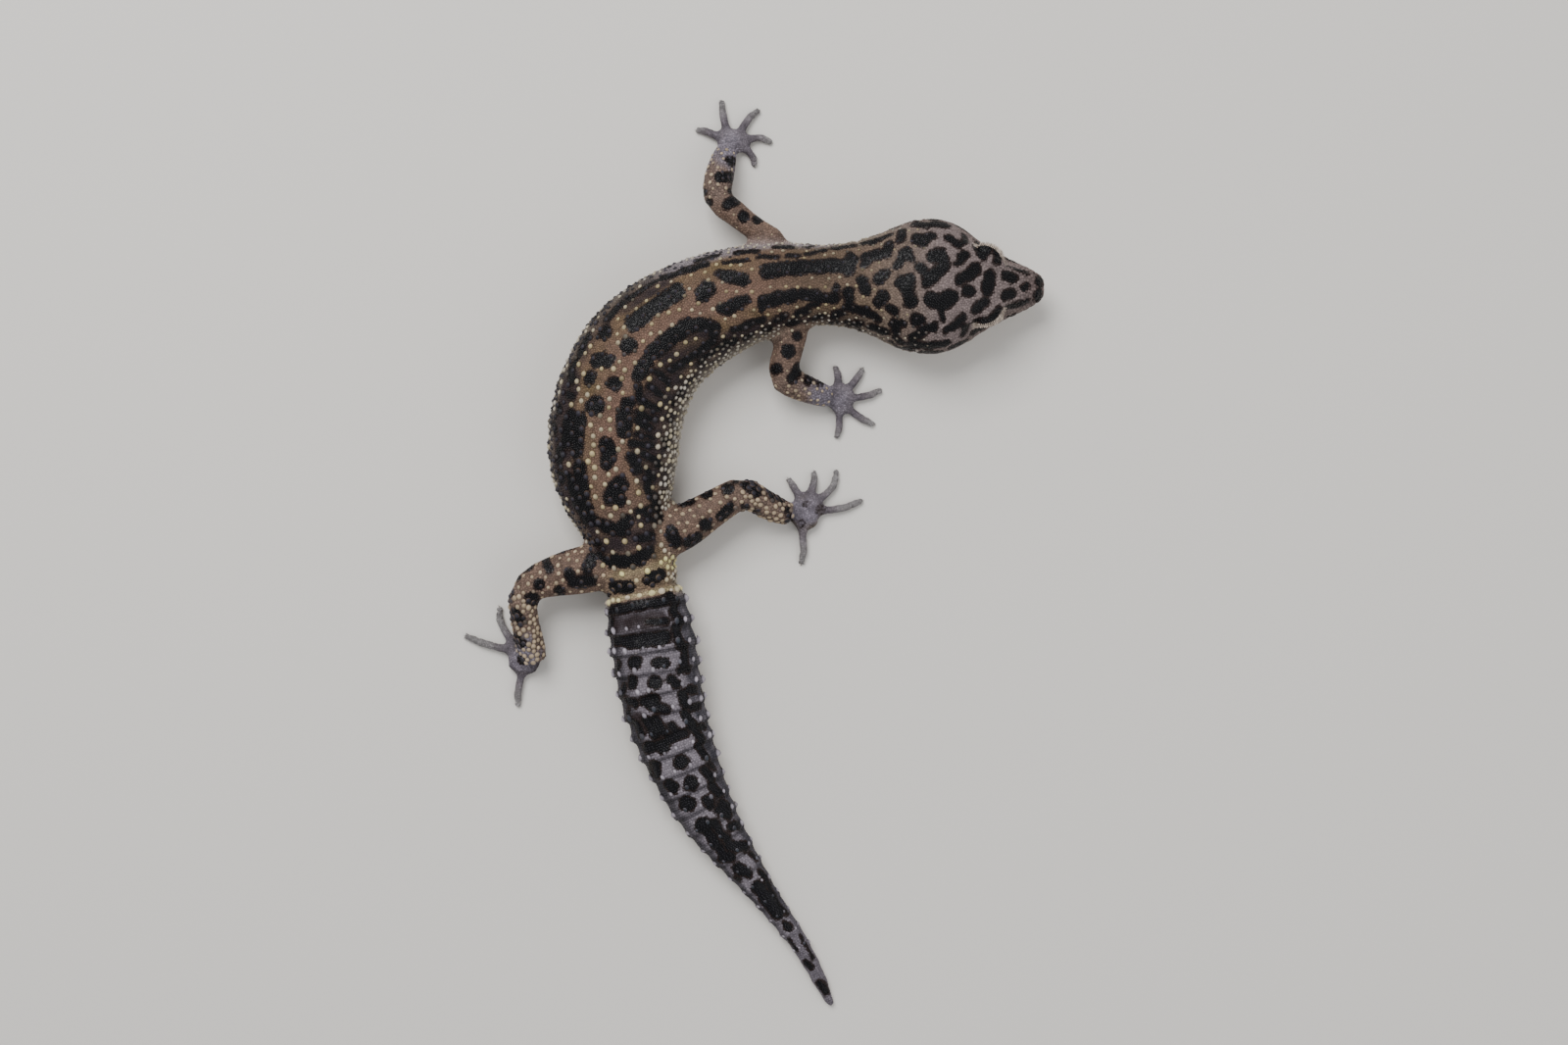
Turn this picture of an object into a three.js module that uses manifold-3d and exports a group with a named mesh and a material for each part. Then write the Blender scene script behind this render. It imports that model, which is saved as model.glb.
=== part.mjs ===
// Leopard gecko, life size: it lies flat on the floor with its trunk in a curve and its toes spread.
// Units are millimetres, +Z is up and the floor is Z = 0. The origin is under the centre of the outline.
import * as THREE from 'three';
import { mergeVertices } from 'three/addons/utils/BufferGeometryUtils.js';
import Module from 'manifold-3d';

const wasm = await Module();
wasm.setup();

// ---- driving dimensions ----

const partingGap = 0.3; // clear gap where two pieces meet
const cutTolerance = 0.04; // slivers left by a cut are cleared up to this size
const bodySides = 24; // facets round the trunk
const limbSides = 10;
const toeSides = 6;
const limbRings = 12;
const toeRings = 5;
const ringSpacing = { trunk: 3.4, shell: 2.7, head: 2.0 };
const fullness = 2.25; // how square the body's sections are

// Midline of the back seen from above, from the snout to the tail tip.
const midlinePoints = [
  [55.2, 50.3], [42.9, 50.3], [28.0, 50.6], [14.1, 51.0], [5.7, 50.5], [-1.8, 49.0], [-10.9, 45.4],
  [-19.8, 39.1], [-24.9, 30.5], [-26.9, 20.3], [-25.8, 10.8], [-23.5, 2.9], [-21.4, -6.4], [-19.5, -16.5],
  [-17.2, -29.5], [-13.4, -40.8], [-9.2, -49.8], [-2.3, -60.1], [6.2, -71.9], [10.5, -78.6], [15.1, -88.0],
];

// Body sections: distance behind the snout, half width, then the height of the top, of the widest level
// and of the underside. An underside below the floor becomes a flat on it.
const bodySections = [
  [0.0, 1.7, 8.4, 6.9, 5.6], // snout
  [1.1, 2.7, 9.7, 7.1, 5.0],
  [2.9, 3.8, 10.7, 7.3, 4.6],
  [5.6, 5.1, 11.9, 7.5, 4.3], // muzzle
  [8.3, 6.4, 13.3, 7.7, 4.1],
  [11.0, 7.9, 14.6, 7.8, 3.9], // eyes
  [16.5, 11.6, 16.1, 8.0, 3.5],
  [19.2, 12.5, 16.4, 8.1, 3.3],
  [22.0, 12.8, 16.4, 8.1, 3.1], // jaw muscles
  [25.0, 12.5, 16.2, 8.0, 3.0],
  [28.0, 11.7, 15.8, 7.9, 2.8],
  [31.5, 10.2, 15.1, 7.7, 2.5],
  [36.0, 8.6, 14.3, 7.4, 2.0],
  [41.2, 7.8, 13.8, 7.1, 1.4], // neck
  [50.0, 8.9, 14.6, 6.9, 0.3], // shoulders
  [57.2, 9.7, 15.3, 6.6, -0.2],
  [67.0, 10.9, 15.9, 6.3, -0.5],
  [78.0, 12.1, 16.3, 6.2, -0.6],
  [88.0, 12.7, 16.3, 6.2, -0.6], // belly
  [98.5, 12.7, 15.9, 6.2, -0.6],
  [103.5, 12.1, 15.5, 6.2, -0.6],
  [108.0, 10.9, 15.0, 6.1, -0.5],
  [112.4, 9.2, 14.4, 6.0, -0.5],
  [116.3, 8.1, 13.8, 5.9, -0.4], // hips
  [124.0, 7.1, 12.4, 5.7, -0.4],
  [127.4, 7.4, 12.3, 5.7, -0.4],
  [131.0, 8.2, 12.6, 5.7, -0.5],
  [138.0, 8.5, 12.4, 5.6, -0.5], // tail
  [153.0, 7.9, 11.1, 5.0, -0.5],
  [169.0, 6.2, 9.0, 4.1, -0.5],
  [177.5, 4.9, 7.5, 3.4, -0.4],
  [186.5, 3.5, 5.7, 2.6, -0.3],
  [195.0, 2.5, 4.3, 2.0, -0.3],
  [204.0, 1.8, 3.3, 1.5, -0.3],
  [215.0, 0.8, 1.6, 0.8, -0.1],
  [216.4, 0.35, 1.1, 0.7, 0.3], // tail tip
];

// Lengths of the body from their front parting to their rear one, and the facets round the tail's.
const bodyPieces = [
  ['neck', 32, 45], ['shoulders', 45, 58], ['trunk_front', 58, 74], ['trunk_middle', 74, 92],
  ['trunk_rear', 92, 109], ['pelvis', 109, 126.2],
];
const tailPieces = [
  ['tail_base', 126.2, 149, 18], ['tail_front', 149, 169, 16], ['tail_middle', 169, 190, 14],
  ['tail_tip', 190, 216.4, 10],
];
const tailStart = 126.2;
const whorlLength = { base: 4.1, tip: 3.6 }; // the tail's rings
const whorlSwell = 0.055; // how far a ring's rear edge stands out, as a share of the half width
const whorlStep = 0.25; // half the length of the step from one ring down to the next

const head = { rear: 32, sides: 24 };
const mouth = { tipLevel: 7.15, corner: 15.4, cornerLevel: 7.5, dip: 0.35, throat: 21.5 };
const mouthReach = { ahead: 3, below: 5, sideways: 20 }; // how far the jaw's cut runs past the head
const eye = { behindSnout: 11.4, fromMidline: 4.5, level: 11.0, radius: 2.7 };
const lids = { long: 4.6, tall: 3.2, out: 3.2 }; // half sizes of the mound round the eye
const lidOpening = { long: 2.9, half: 1.3, ahead: 0.8, outward: 1.95, above: 1.95 };
const headTaper = 26 * Math.PI / 180; // the eyes lie along the side of the wedge-shaped head
const ear = { behindSnout: 24.2, level: 8.6, halfSizes: [0.8, 1.1, 1.9] };
const nostril = { behindSnout: 1.9, fromMidline: 2.55, level: 8.75, radius: 0.42 };

// Limbs: points of the centre line as [x, y, z, radius]. The joint is the index of the elbow or knee.
const limbs = {
  front_left: {
    joint: 4,
    route: [
      [5.7, 55.5, 7.5, 2.7], [3.8, 59.1, 7.0, 2.6], [-0.3, 62.0, 6.6, 2.4], [-4.0, 65.0, 6.4, 2.6],
      [-7.0, 67.5, 6.2, 2.8], [-6.9, 70.8, 5.2, 3.0], [-6.1, 74.5, 3.9, 2.75], [-5.3, 77.6, 2.5, 2.1],
    ],
    foot: { centre: [-4.4, 79.1], halfSizes: [2.9, 2.4, 1.5], turn: 0.1 },
    toes: [
      [[-7.0, 80.2], [-9.2, 81.3], [-11.6, 81.7]], [[-5.4, 81.4], [-6.1, 84.4], [-6.4, 87.6]],
      [[-2.8, 81.1], [-1.2, 83.8], [1.1, 85.7]], [[-2.0, 79.4], [0.8, 80.3], [3.6, 79.0]],
      [[-2.3, 78.2], [-0.4, 76.8], [0.1, 74.3]],
    ],
  },
  front_right: {
    joint: 4,
    route: [
      [8.7, 46.5, 7.0, 2.7], [7.8, 42.7, 7.0, 2.8], [6.8, 39.6, 6.6, 3.0], [5.8, 36.2, 6.3, 3.0],
      [5.5, 33.2, 6.0, 2.8], [7.9, 32.1, 5.0, 2.9], [11.3, 30.8, 3.8, 2.65], [14.4, 29.8, 2.5, 2.2],
    ],
    foot: { centre: [16.5, 29.4], halfSizes: [2.4, 2.8, 1.5], turn: -0.2 },
    toes: [
      [[16.0, 31.4], [16.2, 34.0], [15.5, 36.2]], [[17.6, 31.0], [19.9, 33.6], [21.2, 35.9]],
      [[18.0, 29.6], [21.8, 30.1], [24.8, 31.5]], [[17.5, 28.2], [20.4, 25.9], [23.5, 24.5]],
      [[16.2, 27.4], [16.5, 24.7], [15.7, 21.8]],
    ],
  },
  hind_right: {
    joint: 5,
    route: [
      [-19.7, 1.4, 6.4, 4.4], [-15.3, 3.9, 6.4, 4.6], [-12.1, 5.7, 6.5, 4.4], [-8.3, 8.1, 6.7, 3.8],
      [-5.1, 10.0, 6.9, 3.5], [-2.2, 11.3, 6.9, 3.2], [0.6, 10.2, 6.0, 2.9], [3.4, 8.5, 4.6, 2.8],
      [6.8, 7.2, 2.9, 2.3],
    ],
    foot: { centre: [9.8, 7.6], halfSizes: [3.0, 3.8, 1.6], turn: -0.15 },
    toes: [
      [[8.9, 10.2], [7.5, 12.7], [6.3, 14.5]], [[10.4, 10.6], [11.6, 13.5], [11.4, 15.9]],
      [[11.7, 9.7], [15.0, 12.0], [16.1, 16.0]], [[12.0, 7.9], [16.7, 8.3], [21.2, 10.1]],
      [[9.0, 4.6], [9.6, 1.0], [8.9, -2.8]],
    ],
  },
  hind_left: {
    joint: 5,
    route: [
      [-26.0, -2.7, 6.4, 4.5], [-31.2, -3.1, 6.4, 4.8], [-34.5, -3.7, 6.5, 4.7], [-38.2, -4.6, 6.7, 4.1],
      [-41.6, -5.8, 7.0, 3.5], [-43.9, -7.8, 6.9, 3.0], [-44.0, -10.9, 6.6, 2.8], [-43.6, -14.4, 5.7, 2.8],
      [-42.9, -17.8, 4.6, 2.95], [-42.4, -20.6, 3.4, 2.6],
    ],
    foot: { centre: [-44.4, -20.3], halfSizes: [3.3, 3.9, 1.4], turn: -0.2 },
    toes: [
      [[-43.1, -17.4], [-42.7, -15.0], [-42.5, -12.4]], [[-45.0, -17.2], [-45.2, -14.6], [-44.6, -11.2]],
      [[-46.6, -17.6], [-49.0, -14.2], [-49.6, -10.2]], [[-47.0, -19.0], [-52.1, -17.8], [-56.3, -16.1]],
      [[-44.9, -23.2], [-45.8, -26.9], [-45.7, -30.1]],
    ],
  },
};
const toe = { rootRadius: 0.95, middleRadius: 0.75, endRadius: 0.58, arch: 0.3, pressed: 0.08 };
const claw = { length: 0.9, taperStart: 0.7, taperRadius: 0.36, level: 0.14, pointRadius: 0.1 };
const footSunk = 0.15; // how far a foot is pressed flat on the floor
const shellRear = 140; // the trunk's outline is cleared out of the limbs down to here

const skin = {
  trunk: { color: 0x8d7355, roughness: 0.62, metalness: 0 },
  head: { color: 0x8a7668, roughness: 0.6, metalness: 0 },
  tail: { color: 0x6b6468, roughness: 0.6, metalness: 0 },
  limb: { color: 0x94775c, roughness: 0.64, metalness: 0 },
  toe: { color: 0x77727a, roughness: 0.6, metalness: 0 },
  eye: { color: 0x2b2723, roughness: 0.1, metalness: 0 },
};

// ---- geometry helpers ----

const up = new THREE.Vector3(0, 0, 1);

function toSolid(geometry) {
  const bare = geometry.index ? geometry.toNonIndexed() : geometry.clone();
  bare.deleteAttribute('normal');
  bare.deleteAttribute('uv');
  const merged = mergeVertices(bare, 1e-4);
  return new wasm.Manifold(new wasm.Mesh({
    numProp: 3,
    vertProperties: merged.attributes.position.array,
    triVerts: new Uint32Array(merged.index.array),
  }));
}

// The largest body left by a cut, without its slivers.
function toGeometry(solid) {
  const bodies = solid.simplify(cutTolerance).decompose().sort((a, b) => b.volume() - a.volume());
  const { numProp, numVert, vertProperties, triVerts } = bodies[0].getMesh();
  const positions = new Float32Array(numVert * 3);
  for (let i = 0; i < numVert; i += 1) {
    positions.set(vertProperties.subarray(i * numProp, i * numProp + 3), i * 3);
  }
  const geometry = new THREE.BufferGeometry();
  geometry.setAttribute('position', new THREE.BufferAttribute(positions, 3));
  geometry.setIndex(new THREE.BufferAttribute(triVerts, 1));
  geometry.computeVertexNormals();
  return geometry;
}

// A cylinder whose rows become the given stations: place(station, angle, radial) says where a point goes,
// with the angle measured from the top and radial 1 on the surface. Nothing goes below the floor.
function sweep(stations, sides, place) {
  const rows = stations.length - 1;
  const geometry = new THREE.CylinderGeometry(1, 1, 1, sides, rows);
  const position = geometry.attributes.position;
  for (let i = 0; i < position.count; i += 1) {
    const station = stations[Math.round((0.5 - position.getY(i)) * rows)];
    const angle = Math.atan2(position.getX(i), position.getZ(i));
    const point = place(station, angle, Math.hypot(position.getX(i), position.getZ(i)));
    position.setXYZ(i, point.x, point.y, Math.max(point.z, 0));
  }
  return geometry;
}

const ball = (radius, centre, segments) => ellipsoid([radius, radius, radius], centre, 0, segments);

// An egg-shaped body turned about its upright axis; what would lie below the floor is flat on it.
function ellipsoid(halfSizes, centre, turn = 0, segments = 10) {
  const geometry = new THREE.SphereGeometry(1, segments, Math.round(segments * 0.7));
  geometry.rotateX(Math.PI / 2);
  geometry.scale(...halfSizes);
  geometry.rotateZ(turn);
  geometry.translate(...centre);
  const position = geometry.attributes.position;
  for (let i = 0; i < position.count; i += 1) position.setZ(i, Math.max(position.getZ(i), 0));
  return geometry;
}

// Evenly spaced values from one end to the other.
function spaced(from, to, spacing) {
  const steps = Math.max(1, Math.round((to - from) / spacing));
  return Array.from({ length: steps + 1 }, (_, i) => from + (to - from) * i / steps);
}

// ---- the body's own coordinates ----

const midline = new THREE.CatmullRomCurve3(midlinePoints.map(([x, y]) => new THREE.Vector3(x, y, 0)));
midline.arcLengthDivisions = 1200;
const bodyLength = midline.getLength();

const sectionAt = new THREE.CubicInterpolant(
  bodySections.map(([distance]) => distance), bodySections.flatMap((section) => section.slice(1)), 4);

const whorlBorders = [];
for (let s = tailStart; s < bodyLength - 1.5;) {
  whorlBorders.push(s);
  s += THREE.MathUtils.mapLinear(s, tailStart, bodyLength, whorlLength.base, whorlLength.tip);
}

// 1 at a whorl's rear edge, falling to -1 at its front edge.
function whorlPhase(distance) {
  const index = whorlBorders.findLastIndex((border) => border <= distance);
  if (index < 0) return 0;
  const next = whorlBorders[index + 1] ?? bodyLength;
  return 2 * (distance - whorlBorders[index]) / (next - whorlBorders[index]) - 1;
}

function bodyFrame(distance) {
  const u = THREE.MathUtils.clamp(distance / bodyLength, 0, 1);
  const centre = midline.getPointAt(u);
  const along = midline.getTangentAt(u);
  const right = new THREE.Vector3().crossVectors(up, along);
  return { centre, right };
}

// A point of the body: sideways is positive to the animal's right.
function bodyPlace(distance, sideways, level) {
  const { centre, right } = bodyFrame(distance);
  return centre.addScaledVector(right, sideways).setZ(level);
}

// How far the rim of a section lies out in a direction: a circle when fullness is 2, squarer above that.
const rimAt = (angle) =>
  (Math.abs(Math.sin(angle)) ** fullness + Math.abs(Math.cos(angle)) ** fullness) ** (-1 / fullness);

function bodySurface(distance, angle, radial, grow = 0) {
  const [halfWidth, top, middle, bottom] = sectionAt.evaluate(distance);
  const swell = 1 + whorlSwell * whorlPhase(distance);
  const height = Math.cos(angle) > 0 ? (top - middle) * swell : middle - bottom;
  const reach = rimAt(angle) * radial;
  const sideways = (halfWidth * swell + grow) * Math.sin(angle) * reach;
  return bodyPlace(distance, sideways, middle + (height + grow) * Math.cos(angle) * reach);
}

const bodySolid = (stations, sides, grow = 0) =>
  sweep(stations, sides, (distance, angle, radial) => bodySurface(distance, angle, radial, grow));

// Stations of a tail piece: each whorl has a low front edge and a raised rear one.
function tailStations(from, to) {
  const stations = whorlBorders.flatMap((border) => [border - whorlStep, border + whorlStep])
    .filter((distance) => distance > from + 2 * whorlStep && distance < to - 2 * whorlStep);
  return [from, ...stations, to];
}

// ---- pieces ----

const gecko = new THREE.Group();

function addPiece(name, geometry, finish) {
  const mesh = new THREE.Mesh(geometry, new THREE.MeshStandardMaterial(finish));
  mesh.name = name;
  gecko.add(mesh);
}

function addBody() {
  for (const [name, from, to] of bodyPieces) {
    const stations = spaced(from + partingGap / 2, to - partingGap / 2, ringSpacing.trunk);
    addPiece(name, bodySolid(stations, bodySides), skin.trunk);
  }
  for (const [name, from, to, sides] of tailPieces) {
    const stations = tailStations(from + partingGap / 2, to - partingGap / 2);
    addPiece(name, bodySolid(stations, sides), skin.tail);
  }
}

// Everything under the mouth line and in front of the throat, from side to side of the head.
function mouthCutter(gap) {
  const snoutX = midlinePoints[0][0];
  const frontX = snoutX + mouthReach.ahead;
  const throatX = snoutX - mouth.throat - gap;
  const line = new THREE.QuadraticBezierCurve(
    new THREE.Vector2(frontX, mouth.tipLevel + gap),
    new THREE.Vector2(snoutX - mouth.corner / 2, mouth.tipLevel - 2 * mouth.dip + gap),
    new THREE.Vector2(snoutX - mouth.corner - gap, mouth.cornerLevel + gap));
  const outline = new THREE.Shape();
  outline.setFromPoints(line.getPoints(10));
  outline.lineTo(throatX, 0);
  outline.lineTo(throatX, -mouthReach.below);
  outline.lineTo(frontX, -mouthReach.below);
  const depth = 2 * mouthReach.sideways;
  const geometry = new THREE.ExtrudeGeometry(outline, { depth, bevelEnabled: false, steps: 1 });
  geometry.rotateX(Math.PI / 2);
  geometry.translate(0, midlinePoints[0][1] + mouthReach.sideways, 0);
  return toSolid(geometry);
}

function addHead() {
  const snoutRings = bodySections.slice(0, 3).map(([distance]) => distance);
  const lastRing = head.rear - partingGap / 2;
  const stations = [...snoutRings, ...spaced(snoutRings[2] + 1, lastRing, ringSpacing.head)];
  let whole = toSolid(bodySolid(stations, head.sides));
  const eyes = [];
  for (const side of [-1, 1]) {
    const sideName = side < 0 ? 'left' : 'right';
    const turn = side * headTaper;
    const centre = bodyPlace(eye.behindSnout, side * eye.fromMidline, eye.level);
    const gap = bodyPlace(
      eye.behindSnout - lidOpening.ahead, side * (eye.fromMidline + lidOpening.outward),
      eye.level + lidOpening.above);
    const [earHalfWidth] = sectionAt.evaluate(ear.behindSnout);
    const earCentre = bodyPlace(ear.behindSnout, side * earHalfWidth, ear.level);
    const nostrilCentre = bodyPlace(nostril.behindSnout, side * nostril.fromMidline, nostril.level);
    const mound = ellipsoid([lids.long, lids.out, lids.tall], centre, turn, 16);
    const hollows = [
      ball(eye.radius + partingGap, centre, 14),
      ellipsoid([lidOpening.long, lidOpening.half, lidOpening.half], gap, turn, 12),
      ellipsoid(ear.halfSizes, earCentre, 0, 8),
      ball(nostril.radius, nostrilCentre, 8),
    ];
    whole = whole.add(toSolid(mound));
    for (const hollow of hollows) whole = whole.subtract(toSolid(hollow));
    eyes.push([`eye_${sideName}`, ball(eye.radius, centre, 14)]);
  }
  addPiece('head', toGeometry(whole.subtract(mouthCutter(partingGap))), skin.head);
  addPiece('jaw', toGeometry(whole.intersect(mouthCutter(0))), skin.head);
  for (const [name, eyeball] of eyes) addPiece(name, eyeball, skin.eye);
}

// A round tube along points that carry their own radius.
function limbTube(stations, sides, grow = 0) {
  return sweep(stations, sides, ({ point, along, radius }, angle, radial) => {
    const lift = up.clone().addScaledVector(along, -up.dot(along)).normalize();
    const right = new THREE.Vector3().crossVectors(lift, along);
    return point.clone()
      .addScaledVector(lift, Math.cos(angle) * (radius + grow) * radial)
      .addScaledVector(right, Math.sin(angle) * (radius + grow) * radial);
  });
}

// Evenly spaced stations between two shares of a route, with the radius carried along it.
function routeStations(route, from, to, count) {
  const curve = new THREE.CatmullRomCurve3(route.map(([x, y, z]) => new THREE.Vector3(x, y, z)));
  const radii = new THREE.CubicInterpolant(
    route.map((_, i) => i / (route.length - 1)), route.map(([, , , radius]) => radius), 1);
  return spaced(from, to, (to - from) / count).map((t) => ({
    point: curve.getPoint(t), along: curve.getTangent(t), radius: radii.evaluate(t)[0],
  }));
}

// A toe leaves the foot a little arched and comes down flat, with its claw bent to the floor.
function toeRoute([root, middle, tip]) {
  const reach = new THREE.Vector2(tip[0] - middle[0], tip[1] - middle[1]).setLength(claw.length);
  const [rootHalf, middleHalf] = [root, tip].map(([x, y]) => [(x + middle[0]) / 2, (y + middle[1]) / 2]);
  const endLevel = toe.endRadius - toe.pressed;
  const padLevel = toe.middleRadius - toe.pressed;
  return [
    [...root, toe.rootRadius + toe.arch / 2, toe.rootRadius],
    [...rootHalf, toe.middleRadius + toe.arch, toe.middleRadius],
    [...middle, toe.middleRadius + toe.arch / 2, toe.middleRadius],
    [...middleHalf, padLevel, toe.middleRadius],
    [tip[0] - reach.x, tip[1] - reach.y, endLevel, toe.endRadius],
    [tip[0] - reach.x * claw.taperStart, tip[1] - reach.y * claw.taperStart, endLevel, claw.taperRadius],
    [...tip, claw.level, claw.pointRadius],
  ];
}

function addLimbs() {
  const [, shellFront] = bodyPieces[0];
  const shellRings = spaced(shellFront, shellRear, ringSpacing.shell);
  const bodyShell = toSolid(bodySolid(shellRings, bodySides, partingGap));
  for (const [limb, { joint, route, foot, toes }] of Object.entries(limbs)) {
    const whole = toSolid(limbTube(routeStations(route, 0, 1, limbRings), limbSides));
    const [bend] = routeStations(route, joint / (route.length - 1), 1, 1);
    const normal = bend.along;
    const level = bend.point.dot(normal);
    const upper = whole.trimByPlane(normal.clone().negate().toArray(), partingGap / 2 - level);
    const lower = whole.trimByPlane(normal.toArray(), partingGap / 2 + level);
    const [along, across, tall] = foot.halfSizes;
    const footCentre = [...foot.centre, tall - footSunk];
    const pad = ellipsoid(foot.halfSizes, footCentre, foot.turn);
    const padShell = toSolid(ellipsoid(
      [along + partingGap, across + partingGap, tall + partingGap], footCentre, foot.turn));
    const part = limb.startsWith('front') ? ['upper_arm', 'forearm'] : ['thigh', 'shin'];
    addPiece(`${limb}_${part[0]}`, toGeometry(upper.subtract(bodyShell)), skin.limb);
    addPiece(`${limb}_${part[1]}`, toGeometry(lower.subtract(padShell)), skin.limb);
    addPiece(`${limb}_foot`, pad, skin.toe);
    toes.forEach((points, i) => {
      const tube = toSolid(limbTube(routeStations(toeRoute(points), 0, 1, toeRings), toeSides));
      addPiece(`${limb}_toe_${i + 1}`, toGeometry(tube.subtract(padShell)), skin.toe);
    });
  }
}

addBody();
addHead();
addLimbs();

export default gecko;
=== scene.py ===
import math

import bpy
import numpy as np
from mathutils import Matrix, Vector, kdtree
from mathutils.bvhtree import BVHTree


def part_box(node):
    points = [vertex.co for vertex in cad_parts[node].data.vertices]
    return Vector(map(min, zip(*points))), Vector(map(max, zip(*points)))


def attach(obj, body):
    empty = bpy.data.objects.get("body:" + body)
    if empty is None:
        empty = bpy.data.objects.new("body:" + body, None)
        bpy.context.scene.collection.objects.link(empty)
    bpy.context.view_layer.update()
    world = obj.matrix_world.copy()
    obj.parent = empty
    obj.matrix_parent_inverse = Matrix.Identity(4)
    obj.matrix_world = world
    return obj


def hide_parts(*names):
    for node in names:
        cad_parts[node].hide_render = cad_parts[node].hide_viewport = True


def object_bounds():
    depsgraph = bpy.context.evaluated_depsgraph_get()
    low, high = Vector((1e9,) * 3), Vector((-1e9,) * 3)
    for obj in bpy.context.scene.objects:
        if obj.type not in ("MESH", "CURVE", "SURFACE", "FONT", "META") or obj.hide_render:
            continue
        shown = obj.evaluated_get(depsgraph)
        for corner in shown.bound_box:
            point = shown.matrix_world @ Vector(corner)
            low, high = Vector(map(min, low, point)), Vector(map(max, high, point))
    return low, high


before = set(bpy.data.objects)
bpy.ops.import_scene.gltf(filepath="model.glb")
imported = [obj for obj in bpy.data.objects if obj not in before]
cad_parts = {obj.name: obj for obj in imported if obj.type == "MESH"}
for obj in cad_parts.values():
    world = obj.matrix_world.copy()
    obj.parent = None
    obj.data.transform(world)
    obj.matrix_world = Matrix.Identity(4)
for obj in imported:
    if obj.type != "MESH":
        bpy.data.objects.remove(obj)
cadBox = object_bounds()
metre = 1000.0  # millimetres in a metre


def linear(hexColour):
    channels = np.array([int(hexColour[i : i + 2], 16) for i in (0, 2, 4)]) / 255
    return np.where(channels <= 0.04045, channels / 12.92, ((channels + 0.055) / 1.055) ** 2.4)


def opaque(hexColour, strength=1):
    return (*linear(hexColour) * strength, 1)


def rise(value, start, end):  # 0 before start, 1 past end, smooth between
    t = np.clip((value - start) / (end - start), 0, 1)
    return t * t * (3 - 2 * t)


def blend(first, second, share):  # the first where the share is 0, the second where it is 1
    return first + (second - first) * share


def hump(value, centre, reach):  # 1 at the centre, falling to 0 like a bell
    return np.exp(-(((value - centre) / reach) ** 2))


def unit(vectors):
    return vectors / np.maximum(np.linalg.norm(vectors, axis=-1, keepdims=True), 1e-12)


def selectOnly(*objects):
    bpy.ops.object.select_all(action="DESELECT")
    for item in objects:
        item.select_set(True)
    bpy.context.view_layer.objects.active = objects[0]


def applied(item, kind, **settings):
    modifier = item.modifiers.new(kind.title(), kind)
    for key, value in settings.items():
        setattr(modifier, key, value)
    selectOnly(item)
    bpy.ops.object.modifier_apply(modifier=modifier.name)


def rowsOf(items, key, width, kind=np.float32):  # a value of every vertex, edge or face
    flat = np.empty(len(items) * width, kind)
    items.foreach_get(key, flat)
    return flat.reshape(-1, width)


def pointsOf(mesh):
    return rowsOf(mesh.vertices, "co", 3).astype(float) * metre


def setPoints(mesh, points):
    mesh.vertices.foreach_set("co", (points / metre).astype(np.float32).ravel())
    mesh.update()


def normalsOf(mesh):
    return rowsOf(mesh.vertices, "normal", 3).astype(float)


def trianglesOf(mesh):
    mesh.calc_loop_triangles()
    return rowsOf(mesh.loop_triangles, "vertices", 3, np.int32)


def edgesOf(mesh):
    return rowsOf(mesh.edges, "vertices", 2, np.int32)


def treeOf(places):
    tree = kdtree.KDTree(len(places))
    for index, place in enumerate(places.tolist()):
        tree.insert(place, index)
    tree.balance()
    return tree


def spread(values, edges, rounds):  # averages a value with its neighbours', again and again
    count = len(values)
    a, b = edges.T
    degree = np.bincount(a, minlength=count) + np.bincount(b, minlength=count)
    columns = values.reshape(count, -1).astype(float)
    for _ in range(rounds):
        columns = np.stack([
            (c + (np.bincount(a, c[b], count) + np.bincount(b, c[a], count)) / degree) / 2
            for c in columns.T
        ], 1)
    return columns.reshape(values.shape)


def evened(points, edges, rounds):  # smooths out facets and keeps the volume
    for _ in range(rounds):
        smooth = spread(points, edges, 1)
        points = smooth + 1.04 * (smooth - spread(smooth, edges, 1))
    return points


def newObject(name, points, faces):  # points in millimetres, faces as rows of corners
    mesh = bpy.data.meshes.new(name)
    corners = faces.shape[1]
    mesh.vertices.add(len(points))
    mesh.vertices.foreach_set("co", (points / metre).astype(np.float32).ravel())
    mesh.loops.add(faces.size)
    mesh.loops.foreach_set("vertex_index", faces.astype(np.int32).ravel())
    mesh.polygons.add(len(faces))
    mesh.polygons.foreach_set("loop_start", np.arange(0, faces.size, corners, dtype=np.int32))
    mesh.polygons.foreach_set("use_smooth", np.ones(len(faces), bool))
    mesh.update(calc_edges=True)
    mesh.validate()
    item = bpy.data.objects.new(name, mesh)
    bpy.context.collection.objects.link(item)
    return item


def setAttribute(mesh, name, values):
    colour = values.ndim == 2
    layer = mesh.attributes.new(name, "FLOAT_COLOR" if colour else "FLOAT", "POINT")
    if colour:
        values = np.concatenate([values, np.ones((len(values), 1))], 1)
    layer.data.foreach_set("color" if colour else "value", values.astype(np.float32).ravel())


# s runs along the midline from the snout to the tail tip, v is sideways, positive to the animal's right,
# and g is the way round the girth from the top of the back, also positive to the right.
# Below, the numbers after s in rise and hump are places on the midline, and those after angle are radians.

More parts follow.
